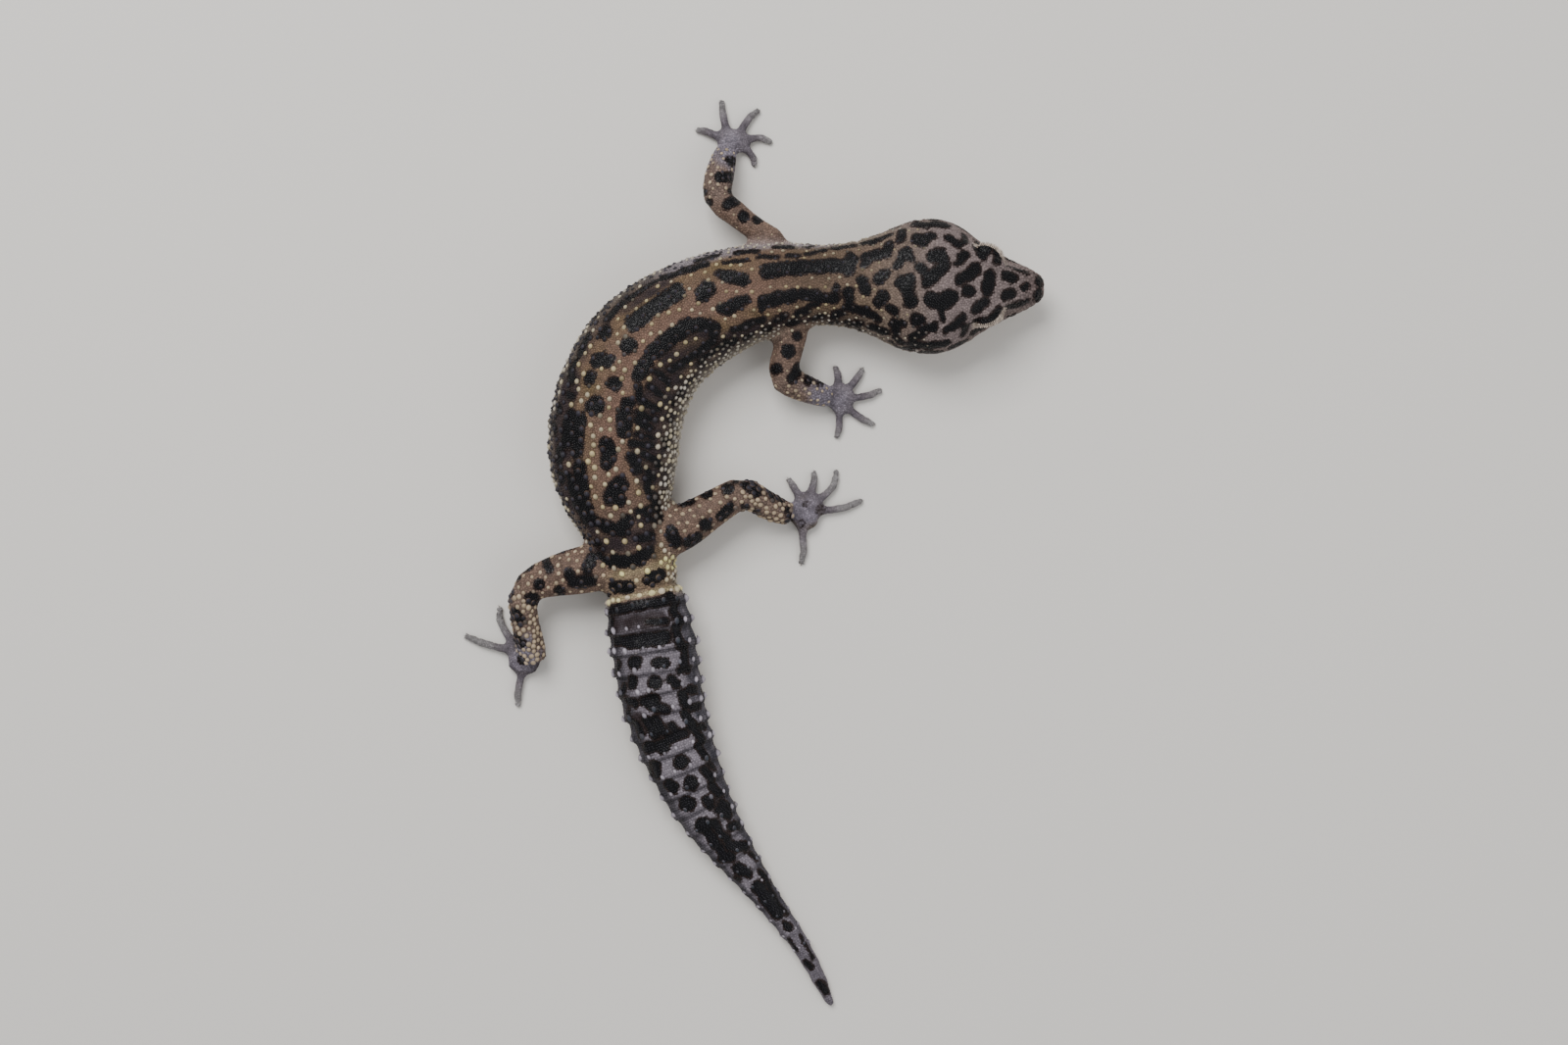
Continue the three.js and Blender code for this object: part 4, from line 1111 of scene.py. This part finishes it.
def tubercleShape(sides=8, shoulder=0.7, tip=0.26):  # a rounded cone, steep at its foot
    bpy.ops.object.select_all(action="DESELECT")
    bpy.ops.mesh.primitive_cone_add(
        vertices=sides, radius1=1, radius2=shoulder, depth=0.55, location=(0, 0, 0.275))
    item = bpy.context.object
    bpy.ops.object.transform_apply(location=True)
    editingTop(item, 0.5)
    bpy.ops.mesh.extrude_region_move(TRANSFORM_OT_translate={"value": (0, 0, 0.33)})
    bpy.ops.transform.resize(value=(tip / shoulder, tip / shoulder, 1), center_override=(0, 0, 0.88))
    bpy.ops.mesh.extrude_region_move(TRANSFORM_OT_translate={"value": (0, 0, 0.12)})
    bpy.ops.mesh.merge(type="CENTER")
    return templateOf(item)


def beadShape():  # a smooth bead for lips and lids
    bpy.ops.object.select_all(action="DESELECT")
    bpy.ops.mesh.primitive_ico_sphere_add(subdivisions=2, radius=1)
    return templateOf(bpy.context.object)


coat = {  # each piece's slot, and the stretch of the midline that its map covers
    "tubercles_body": ("trunk_skin", (20, 130)),
    "tubercles_legs": ("leg_skin", (0, 1)),
    "tubercles_tail": ("tail_skin", (124, 217)),
    "granules_head": ("head_skin", (-2, 34)),
    "granules_trunk_front": ("trunk_skin", (34, 80)),
    "granules_trunk_rear": ("trunk_skin", (80, 128)),
    "granules_tail": ("tail_skin", (128, 217)),
    "granules_legs": ("leg_skin", (0, 1)),
    "lip_scales": ("head_skin", (-2, 34)),
    "lid_scales": ("head_skin", (-2, 34)),
}


def plant(name, shape, roots, sizes, heights, colours, spots, lean=0.0, sink=0.12, shades=1.0):
    # Copies the shape to every root. sizes is half the length along the lie and across it.
    slot, window = coat[name]
    template, faces = shape
    count, corners = len(roots["place"]), len(template)
    normal = roots["normal"]
    upright = unit(normal + lean * roots["lie"])
    along = unit(roots["lie"] - upright * (roots["lie"] * upright).sum(1, keepdims=True))
    across = np.cross(upright, along)
    sizes = np.broadcast_to(np.asarray(sizes, float), (count, 2))
    heights = np.broadcast_to(np.asarray(heights, float), (count,))
    points = (
        (roots["place"] - normal * (sink * heights)[:, None])[:, None]
        + along[:, None] * (template[:, 0] * sizes[:, :1])[..., None]
        + across[:, None] * (template[:, 1] * sizes[:, 1:])[..., None]
        + upright[:, None] * (template[:, 2] * heights[:, None])[..., None]
    ).reshape(-1, 3)
    ceiling, front = cadBox[1][2] * metre - 0.02, cadBox[1][0] * metre - 0.02
    points[:, 2] = points[:, 2].clip(0.01, ceiling)
    points[:, 0] = np.minimum(points[:, 0], front)
    allFaces = (faces[None] + (np.arange(count) * corners)[:, None, None]).reshape(-1, 3)
    item = newObject(name, points, allFaces)
    mesh = item.data
    if colours.ndim == 2:  # one colour for each copy
        colours = np.repeat(colours, corners, 0)
    setAttribute(mesh, "ground", colours.reshape(-1, 3))
    setAttribute(mesh, "spot", np.repeat(spots, corners))
    setAttribute(mesh, "shade", np.repeat(np.broadcast_to(shades, count), corners))
    s, angle = carried(skinS, roots), carried(skinAngle, roots)
    flat = unwrapped(roots["node"], s, angle, roots["place"], window)
    patch = (flat[:, None] + 0.0015 * template[None, :, :2].clip(-1, 1)).reshape(-1, 2)
    layer = mesh.uv_layers.new(name="OFBake")
    layer.uv.foreach_set("vector", patch[allFaces.ravel()].astype(np.float32).ravel())
    mesh.materials.append(scaleFinish)
    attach(item, "root")
    print(name, "-", count, "scales,", len(allFaces), "triangles")


noMark = -2.0  # the depth of a scale that bears no mark
tubercles = {
    "back": 1.62,  # least distance between two of them
    "flank": 0.93,
    "legGaps": {"upper_arm": 2.3, "forearm": 1.2, "thigh": 1.4, "shin": 0.9},
    "headRear": 1.35,
    "backSize": 0.63,  # half their width
    "flankSize": 0.54,
    "legSizes": {"upper_arm": 0.27, "forearm": 0.44, "thigh": 0.5, "shin": 0.6},
    "bandSize": 0.66,
    "band": "d2c88f",  # the cones of the two pale bands at the tail's root
    "cream": "b0a17a",
    "white": "ada69b",
    "pearl": "a4927a",
    "inMarkAndShade": "1f1d23",  # those that stand in a dark mark, and those dark as painted shade on the outside of the bend
    "tailPale": "99929a",
    "tailMark": "2b2e34",
    "ridge": "b3a49b",  # the rear band's cones vary from the band's colour to this
}

onFloor = (skinNormals[:, 2] < -0.55) | ((skinPoints[:, 2] < 0.5) & (skinNormals[:, 2] < 0))


def flankShare(angle):  # 1 on the flanks, 0 on the back
    return np.clip(rise(angle, 0.62, 0.95) + rise(-angle, 0.85, 1.2), 0, 1)


def setOnLegs(values, nodes, parts):
    for index, name in enumerate(flesh):
        for part, value in parts.items():
            if part in name:
                values[nodes == index] = value


def tubercleCloseness():
    gap = blend(tubercles["back"], tubercles["flank"], flankShare(skinAngle))
    gap = np.where(skinS < 33, tubercles["headRear"], gap)
    setOnLegs(gap, skinNode, tubercles["legGaps"])
    onBody = skinKind == "body"
    onCrown = (skinS < 30) & (np.abs(skinAngle) < 0.5)
    none = onBody & ((skinS < 22) | onCrown | (skinS > 126.5))
    none |= np.isin(skinKind, ("foot", "toe")) | (skinNormals[:, 2] < -0.3) | onFloor
    none |= ~onBody & ((skinNormals[:, 2] < 0.15) | (soft["foot"] + soft["toe"] > 0.3))
    return np.where(none, 0, 1 / gap)


def coneColours(shape, roots, top):  # a cone's foot has the skin's own colour, a little darker
    foot = carried(ground, roots) * 0.85
    share = rise(shape[0][:, 2], 0.0, 0.4)[None, :, None]
    return blend(foot[:, None], top[:, None], share)


def takenBy(roots, reach):  # keeps the granules off the tubercles
    return list(zip(roots["place"].tolist(), reach.tolist()))


def plantTubercles():
    random = np.random.default_rng(31)
    roots = scattered(tubercleCloseness(), 7)
    count = len(roots["place"])
    s, angle = carried(skinS, roots), carried(skinAngle, roots)
    onLeg = fleshKinds[roots["node"]] != "body"
    flank = flankShare(angle) * ~onLeg
    size = blend(tubercles["backSize"], tubercles["flankSize"], flank)
    setOnLegs(size, roots["node"], tubercles["legSizes"])
    byPlace = np.interp(s, [28, 46, 70, 92], [0.5, 0.66, 0.78, 1])  # they are smaller towards the head
    size = size * np.where(onLeg, 1, byPlace) * random.uniform(0.8, 1.15, count)
    size = size * (1 - 1.6 * carried(soft["foot"], roots).clip(0, 0.4))
    inBand = (s > 121.6) & (s < 123.6) & ~onLeg
    size = np.where(inBand, tubercles["bandSize"] * random.uniform(0.7, 1.1, count), size)
    height = size * random.uniform(0.75, 0.98, count) * np.where(onLeg, 0.8, 1) + 0.04 * flank
    whiteness = np.clip(0.6 * flank + random.uniform(-0.2, 0.5, count), 0, 1)[:, None]
    pale = blend(linear(tubercles["cream"]), linear(tubercles["white"]), whiteness)
    pale = np.where(onLeg[:, None], linear(tubercles["pearl"]), pale)
    likeSkin = np.interp(s, [30, 46, 92], [0.5, 0.38, 0.1]) * ~onLeg * (1 - 0.6 * flank)
    pale = blend(pale, carried(ground, roots), likeSkin[:, None])
    pale = np.where(inBand[:, None], linear(tubercles["band"]), pale) * random.uniform(0.8, 1.12, (count, 1))
    outside = rise(-angle, 0.6, 0.9) * (1 - rise(-angle, 1.25, 1.5)) * (s > 56) * ~onLeg
    paintedShade = random.random(count) < 0.75 * outside  # most of those on the outside of the bend are dark: painted shade
    inMarkAndShade = np.maximum(rise(carried(spot, roots), -0.2, 0.15) * (1 - 0.3 * flank), paintedShade)[:, None]
    top = blend(pale, linear(tubercles["inMarkAndShade"]) * random.uniform(0.8, 2.2, (count, 1)), inMarkAndShade)
    shape = tubercleShape()
    colours = coneColours(shape, roots, top)
    sizes = size[:, None] * (1.06, 0.96)
    for name, mine in (("tubercles_body", ~onLeg), ("tubercles_legs", onLeg)):
        some = {key: value[mine] for key, value in roots.items()}
        spots = np.full(mine.sum(), noMark)
        plant(name, shape, some, sizes[mine], height[mine], colours[mine], spots, lean=0.16)
    return takenBy(roots, size * 0.95 + 0.12)


def aroundBody(s, turn):  # a place on the body, turned away from the top of the back
    width, top, middle = section(s)
    place, right = midlineAt(s)
    return np.append(place + right * width * math.sin(turn), middle + (top - middle) * math.cos(turn))


def plantTailTubercles():  # rows near the rear edge of each ring
    random = np.random.default_rng(32)
    turns = np.cumsum(random.uniform(0.2, 0.34, 12)) - 1.7  # first the pale ridge at the tail's root
    places = [aroundBody(127.2 + random.uniform(-0.25, 0.25), turn) for turn in turns]
    sizes = list(random.uniform(0.5, 0.78, len(turns)))
    ridgeCount = len(turns)
    for border, length in zip(whorls[:-1], np.diff(whorls)):
        if border > 203:
            break
        s = border + length - 1.15
        width, _, _ = section(s)
        step = np.interp(width, [2.4, 8.4], [0.8, 0.4])
        for turn in np.arange(-1.75, 1.8, step) + random.uniform(-0.1, 0.1):
            places.append(aroundBody(s + random.uniform(-0.3, 0.3), turn + random.uniform(-0.09, 0.09)))
            sizes.append(np.interp(width, [2, 8], [0.3, 0.54]) * (0.85 + 0.4 * abs(math.sin(turn)) ** 2))
    roots = rootsBeneath(np.array(places))
    sizes = np.array(sizes) * random.uniform(0.75, 1.2, len(sizes))
    ridge = np.arange(len(sizes)) < ridgeCount
    depth = carried(spot, roots)
    side = np.abs(carried(skinAngle, roots))
    pale = linear(tubercles["tailPale"]) * random.uniform(0.75, 1.2, (len(sizes), 1))
    dark = linear(tubercles["tailMark"]) * random.uniform(0.6, 1.6, (len(sizes), 1))
    top = blend(pale, dark, (rise(depth, 0.0, 0.45) * (1 - 0.7 * rise(side, 0.9, 1.3)))[:, None])
    ridgeShare = random.random((ridgeCount, 1))
    top[ridge] = blend(linear(tubercles["band"]), linear(tubercles["ridge"]), ridgeShare)
    shape = tubercleShape()
    height = sizes * (0.85 + 0.35 * rise(side, 0.8, 1.4)) * np.where(ridge, 0.9, 1)
    longer, wider = np.where(ridge, 1.0, 1.3), np.where(ridge, 1.2, 0.92)
    plant(
        "tubercles_tail", shape, roots, np.stack([sizes * longer, sizes * wider], 1), height,
        coneColours(shape, roots, top), np.full(len(sizes), noMark), lean=0.45)
    return takenBy(roots, sizes + 0.1)


taken = plantTubercles() + plantTailTubercles()

granules = {
    "spacing": 0.37,  # least distance between two of them
    "faceSpacing": 0.38,
    "snoutExtra": 0.14,  # added to it at the snout
    "shinSpacing": 0.42,
    "toeSpacing": 0.3,
    "tailTipSpacing": 0.34,
    "tailFrom": 128,  # from here they stand in rows
    "tailRows": 0.46,  # this far apart
    "toeRows": 0.33,  # the same for the rows that ring each toe
    "spread": 0.58,  # half width as a share of the distance to the neighbours
    "height": 0.38,
    "toeShape": (0.75, 1.3),  # a toe's granules are shorter and wider
}


def granuleCloseness():
    onBody = skinKind == "body"
    onHead = region["body"] * (1 - rise(skinS, 26, 30)) > 0.5
    towardsSnout = granules["snoutExtra"] * (1 - rise(skinS, 2, 12))
    gap = np.full(len(skinPoints), granules["spacing"])
    gap = np.where(onHead, granules["faceSpacing"] + towardsSnout, gap)
    gap = np.where(skinKind == "lower", granules["shinSpacing"], gap)
    gap = np.where(np.isin(skinKind, ("foot", "toe")), granules["toeSpacing"], gap)
    gap = np.where((skinS > 200) & onBody, granules["tailTipSpacing"], gap)
    z = skinPoints[:, 2]
    none = onFloor | (eyeRing < 1.27)
    none |= (np.abs(z - mouthLevel(skinS)) < 1.05 - 0.03 * skinS) & (skinS < 15) & onBody
    none |= (fromEar(skinS, z) < 1.2) & (np.abs(skinV) > face["earSide"])
    none |= fromNostril(skinS, skinV, z) < 0.6
    return np.where(none, 0, 1 / gap)


def inRows(roots):  # on the tail and toes, keeps only what stands in their rows
    s, toFoot = carried(skinS, roots), carried(skinToFoot, roots)
    nearestKinds = skinKind[skinTriangles[roots["face"], 0]]
    tailPhase = np.abs((s / granules["tailRows"]) % 1 - 0.5)
    toePhase = np.abs((toFoot / granules["toeRows"]) % 1 - 0.5)
    inTail = (nearestKinds == "body") & (s >= granules["tailFrom"])
    return np.where(inTail, tailPhase > 0.34, (nearestKinds != "toe") | (toePhase > 0.3))


def roomBetween(places, count=5):  # the mean distance to the nearest neighbours
    tree = treeOf(places)
    found = [[distance for _, _, distance in tree.find_n(place, count + 1)] for place in places.tolist()]
    return np.array(found)[:, 1:].mean(1)


def plantGranules():
    random = np.random.default_rng(41)
    closeness = granuleCloseness()
    roots = scattered(closeness, 9, taken, inRows)
    count = len(roots["place"])
    s, kind = carried(skinS, roots), fleshKinds[roots["node"]]
    onBody, onFoot = kind == "body", np.isin(kind, ("foot", "toe"))
    onTail = onBody & (s >= granules["tailFrom"])
    gap = 1 / carried(closeness, roots)
    half = roomBetween(roots["place"]).clip(0.9 * gap, 1.45 * gap) * granules["spread"]
    height = half * granules["height"] * random.uniform(0.8, 1.2, count)
    height = np.where(onFoot, height * 0.9, height)
    unlike = np.select([kind == "toe", kind == "foot", onBody], [0.12, 0.22, 0.08], 0.15)
    shades = random.normal(1.0, unlike).clip(0.55, 1.6)
    spots = carried(spot, roots) + random.normal(0, 0.04, count)
    # Granules in the marks of the tail and legs are made lighter: partly the marks' own lighter tone there,
    # partly a painted sheen for the granules' glints.
    shades *= 1 + rise(spots, 0.45, 0.8) * np.where(onBody, 1.5 * onTail, 0.7)
    turn = random.uniform(0, 2 * math.pi, count)[:, None]
    sideways = np.cross(roots["normal"], roots["lie"])
    turned = roots["lie"] * np.cos(turn) + sideways * np.sin(turn)
    roots["lie"] = np.where((onTail | onFoot)[:, None], roots["lie"], turned)  # in rows they aren't turned
    sizes = half[:, None] * np.where((kind == "toe")[:, None], granules["toeShape"], 1)
    colours, shape = carried(ground, roots), granuleShape()
    for name, mine in (
        ("granules_head", onBody & (s < 34)),
        ("granules_trunk_front", onBody & (s >= 34) & (s < 80)),
        ("granules_trunk_rear", onBody & (s >= 80) & ~onTail),
        ("granules_tail", onTail),
        ("granules_legs", ~onBody),
    ):
        some = {key: value[mine] for key, value in roots.items()}
        plant(
            name, shape, some, sizes[mine], height[mine], colours[mine], spots[mine],
            sink=0.25, shades=shades[mine])


plantGranules()

lips = {
    "count": 11,  # on each side, above and below the mouth
    "rear": 14.6,
    "offset": 0.52,
    "halfTall": 0.42,
    "thick": 0.14,
}


def plantLips():
    random = np.random.default_rng(51)
    edges = lips["rear"] * np.linspace(0.035, 1, lips["count"] + 1) ** 1.08
    places, lengths = [], []
    for sign in (1, -1):
        for front, rear in zip(edges[:-1], edges[1:]):
            for above in (1, -1):
                s = (front + rear) / 2
                width, _, _ = section(s)
                level = float(mouthLevel(s)) + above * lips["offset"] * (1.1 - 0.02 * s)
                place, right = midlineAt(s)
                places.append(np.append(place + right * sign * width * 1.02, level))
                lengths.append((rear - front) * 0.56)
    for above in (1, -1):  # the plates at the tip of the snout and chin
        places.append(np.append(spine[0] + (0.4, 0), float(mouthLevel(0)) + above * 0.55))
        lengths.append(1.15)
    roots = rootsBeneath(np.array(places))
    tip = np.arange(len(places)) >= len(places) - 2
    roots["lie"][tip] = (0, 1, 0)
    roots["place"][tip] -= (0.16, 0, 0)
    lengths = np.array(lengths)
    tall = lips["halfTall"] * np.where(tip, 1.1, 1 - 0.3 * np.array(carried(skinS, roots)) / lips["rear"])
    colours = carried(ground, roots) * random.uniform(0.85, 1.1, (len(lengths), 1))
    plant(
        "lip_scales", beadShape(), roots, np.stack([lengths, tall], 1), np.full(len(lengths), lips["thick"]),
        colours, carried(spot, roots), sink=0.1)


lids = {
    "step": 0.3,
    "halfLong": {"upper": 0.48, "lower": 0.26},  # narrow scales, which make a fringe on the upper lid
    "halfWide": 0.145,
    "thick": 0.15,
    "rows": ((1.08, 1.12), (1.2, 1.4)),  # each row's ring, as shares of the opening's length and height
}


def plantLids():
    places, ways, uppers, combs, ups = [], [], [], [], []
    dense = np.linspace(0, 2 * math.pi, 721)
    for name in eyes["sides"]:
        centre, radius = eyeBall(name)
        slit, across, gaze = eyeAxes(name)
        for row, (longer, taller) in enumerate(lids["rows"]):
            a = eyes["halfLength"] * np.sign(np.cos(dense)) * np.abs(np.cos(dense)) ** (2 / 1.7) * longer
            b = eyes["halfOpening"] * np.sin(dense) * taller - eyes["drop"]
            walk = np.concatenate([[0], np.cumsum(np.hypot(np.diff(a), np.diff(b)))])
            steps = np.linspace(0, walk[-1], int(walk[-1] / lids["step"]), endpoint=False)
            a, b = np.interp(steps, walk, a), np.interp(steps, walk, b)
            if row:
                a = np.where(a < 0, a * 1.1, a)
            upper = rise(b, -0.3, 0.5)
            out = radius + eyes["lidThickness"] + eyes["brow"] * upper * browAlong(a)
            ahead = np.sqrt(np.maximum(out**2 - a**2 - b**2, 0.2))
            places.append(centre + a[:, None] * slit + b[:, None] * across + ahead[:, None] * gaze)
            fringe = (upper * (row == 0))[:, None]  # the upper lid's edge bears a comb that stands out
            lying = -0.35 * a[:, None] * slit - np.sign(b + 0.3)[:, None] * across
            standing = gaze + 0.12 * a[:, None] * slit
            ways.append((1 - fringe) * lying + 1.6 * fringe * standing)
            ups.append(fringe * across)
            combs.append(fringe[:, 0])
            uppers.append(upper)
    roots = rootsBeneath(np.vstack(places))
    comb = np.concatenate(combs)
    roots["lie"] = unit(np.vstack(ways))
    roots["normal"] = unit(roots["normal"] * (1 - comb)[:, None] + np.vstack(ups))
    roots["place"] += 0.2 * comb[:, None] * roots["lie"]
    upper = np.concatenate(uppers)
    count = len(upper)
    random = np.random.default_rng(52)
    colours = np.tile(linear(palette["lidRim"]), (count, 1)) * random.uniform(0.7, 1.15, (count, 1))
    halfLong = blend(lids["halfLong"]["lower"], lids["halfLong"]["upper"], upper)
    halfLong = halfLong * random.uniform(0.85, 1.1, count)
    plant(
        "lid_scales", beadShape(), roots, np.stack([halfLong, np.full(count, lids["halfWide"])], 1),
        np.full(count, lids["thick"]), colours, np.full(count, noMark),
        lean=-0.3 * (upper * (1 - comb))[:, None], sink=-0.1)


plantLips()
plantLids()

eyeLook = {
    "iris": "3a342a",  # dark bronze
    "irisDark": "0f0d0a",
    "pupil": "070707",
    "irisRadius": 2.25,
    "pupilHalf": 0.28,
    "net": 0.32,  # the size of the net's meshes
    "within": 0.012,  # how much smaller the ball is than its solid, as a share
}


def eyeMaterial():
    # A wet cornea: a clear coat over a dark bronze iris with a fine black net.
    material, tree, shader = newMaterial("wet cornea over netted iris")
    look = addNode(tree, "ShaderNodeAttribute", {"attribute_name": "gaze"}).outputs["Color"]
    parts = addNode(tree, "ShaderNodeSeparateColor", inputs={0: look}).outputs
    place = addNode(tree, "ShaderNodeTexCoord").outputs["Object"]
    net = addNode(
        tree, "ShaderNodeTexVoronoi", {"feature": "DISTANCE_TO_EDGE"},
        {"Vector": place, "Scale": perMillimetre(eyeLook["net"])})
    cells = addNode(
        tree, "ShaderNodeMapRange",
        inputs={"Value": net.outputs["Distance"], "From Min": 0.02, "From Max": 0.16})
    black = opaque(eyeLook["irisDark"])
    colour = black
    for share, shown in (
        (cells.outputs["Result"], opaque(eyeLook["iris"])),
        (parts["Red"], black),
        (parts["Green"], opaque(eyeLook["pupil"])),
    ):
        colour = addNode(tree, "ShaderNodeMix", mixColours, {0: share, 6: colour, 7: shown}).outputs[2]
    tree.links.new(colour, shader.inputs["Base Color"])
    for key, value in (
        ("Roughness", 0.25), ("IOR", 1.38), ("Specular IOR Level", 0.2),
        ("Coat Weight", 0.7), ("Coat IOR", 1.34), ("Coat Roughness", 0.03),
    ):
        shader.inputs[key].default_value = value
    return material


eyeFinish = eyeMaterial()


def makeEye(name):
    centre, radius = eyeBall(name)
    slit, _, gaze = eyeAxes(name)
    bpy.ops.object.select_all(action="DESELECT")
    bpy.ops.mesh.primitive_uv_sphere_add(segments=72, ring_count=48, radius=radius / metre)
    item = bpy.context.object
    item.name = item.data.name = f"eyeball_{name}"
    bpy.ops.object.shade_smooth()
    points = pointsOf(item.data)
    turned = points @ np.stack([slit, np.cross(gaze, slit), gaze])
    a, b = points[:, 0], points[:, 1]
    setPoints(item.data, turned * (1 - eyeLook["within"]) + centre)
    wavy = eyeLook["pupilHalf"] * (1 + 0.25 * np.cos(b * 4.2)) * np.sqrt(np.clip(1 - (b / 1.9) ** 2, 0, 1))
    ahead = points[:, 2] > 0
    pupil = (1 - rise(np.abs(a), wavy - 0.06, wavy + 0.06)) * ahead
    beyond = rise(np.hypot(a, b), eyeLook["irisRadius"] - 0.3, eyeLook["irisRadius"])  # the iris
    setAttribute(item.data, "gaze", np.stack([np.clip(beyond + ~ahead, 0, 1), pupil, np.zeros(len(a))], 1))
    item.data.materials.append(eyeFinish)
    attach(item, "root")
    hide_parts(f"eye_{name}")


for name in eyes["sides"]:
    makeEye(name)

claws = {"length": 0.85, "thick": 0.13, "tip": 0.03, "colour": "928b86", "grain": 0.5}


def clawMaterial():
    # Horn: smooth and a little glossy, lighter and darker along its grain.
    material, tree, shader = newMaterial("translucent horn claw")
    place = addNode(tree, "ShaderNodeTexCoord").outputs["Object"]
    grain = addNode(
        tree, "ShaderNodeTexNoise", inputs={"Vector": place, "Scale": perMillimetre(claws["grain"])})
    colour = addNode(tree, "ShaderNodeMix", mixColours, {
        0: grain.outputs["Fac"], 6: opaque(claws["colour"], 0.7), 7: opaque(claws["colour"], 1.4)})
    tree.links.new(colour.outputs[2], shader.inputs["Base Color"])
    shader.inputs["Roughness"].default_value = 0.35
    return material


def makeClaws():
    pieces = []
    for tip, way in toeTips():
        bpy.ops.object.select_all(action="DESELECT")
        bpy.ops.mesh.primitive_cone_add(
            vertices=10, radius1=claws["thick"], radius2=claws["tip"], depth=claws["length"])
        cone = bpy.context.object
        bpy.ops.object.mode_set(mode="EDIT")
        bpy.ops.mesh.select_all(action="SELECT")
        bpy.ops.mesh.subdivide(number_cuts=3)
        bpy.ops.object.mode_set(mode="OBJECT")
        points = pointsOf(cone.data) / metre
        along = points[:, 2] + claws["length"] / 2
        share = along / claws["length"]
        start = tip[:2] - way * (claws["length"] + 0.05)
        level = 0.42 + 0.12 * np.sin(share * math.pi) - 0.34 * share**2
        placed = np.empty_like(points)
        placed[:, :2] = start + along[:, None] * way + points[:, :1] * np.array([-way[1], way[0]])
        placed[:, 2] = level + points[:, 1]
        setPoints(cone.data, placed)
        pieces.append(cone)
    selectOnly(*pieces)
    bpy.ops.object.join()
    item = bpy.context.object
    item.name = item.data.name = "claws"
    bpy.ops.object.transform_apply(location=True, rotation=True, scale=True)
    bpy.ops.object.mode_set(mode="EDIT")
    bpy.ops.mesh.select_all(action="SELECT")
    bpy.ops.mesh.normals_make_consistent(inside=False)
    bpy.ops.object.mode_set(mode="OBJECT")
    bpy.ops.object.shade_smooth()
    item.data.materials.append(clawMaterial())
    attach(item, "root")


makeClaws()
print("eyes and claws made")

stage = {
    "cameraPlace": (5.7, 5.7, 422),
    "lens": 50,
    "floorSize": 14000,
    "floorColour": "d9d5cf",
    "room": (0.95, 0.97, 1.0, 1),
    "roomStrength": 0.55,
    "lights": {  # place and size in metres, and power in watts
        "key light": ((-0.22, 0.42, 0.62), 0.45, 6.0),
        "fill light": ((0.5, -0.25, 0.55), 0.6, 1.6),
    },
}


def setUpStage():
    cameraData = bpy.data.cameras.new("camera")
    cameraData.lens = stage["lens"]
    cameraData.sensor_width = 36
    cameraData.clip_start, cameraData.clip_end = 0.01, 20
    camera = bpy.data.objects.new("camera", cameraData)
    camera.location = Vector(stage["cameraPlace"]) / metre
    bpy.context.collection.objects.link(camera)
    bpy.context.scene.camera = camera

    bpy.ops.object.select_all(action="DESELECT")
    bpy.ops.mesh.primitive_plane_add(size=stage["floorSize"] / metre)
    floor = bpy.context.object
    floor.name = "floor"
    material, _, shader = newMaterial("matt painted board")
    shader.inputs["Base Color"].default_value = opaque(stage["floorColour"])
    shader.inputs["Roughness"].default_value = 0.9
    floor.data.materials.append(material)

    world = bpy.data.worlds.new("pale room")
    bpy.context.scene.world = world
    world.use_nodes = True
    background = world.node_tree.nodes["Background"]
    background.inputs["Color"].default_value = stage["room"]
    background.inputs["Strength"].default_value = stage["roomStrength"]
    for name, (place, size, power) in stage["lights"].items():
        data = bpy.data.lights.new(name, "AREA")
        data.size, data.energy = size, power
        light = bpy.data.objects.new(name, data)
        light.location = place
        light.rotation_euler = (-Vector(place)).to_track_quat("-Z", "Y").to_euler()
        bpy.context.collection.objects.link(light)


setUpStage()
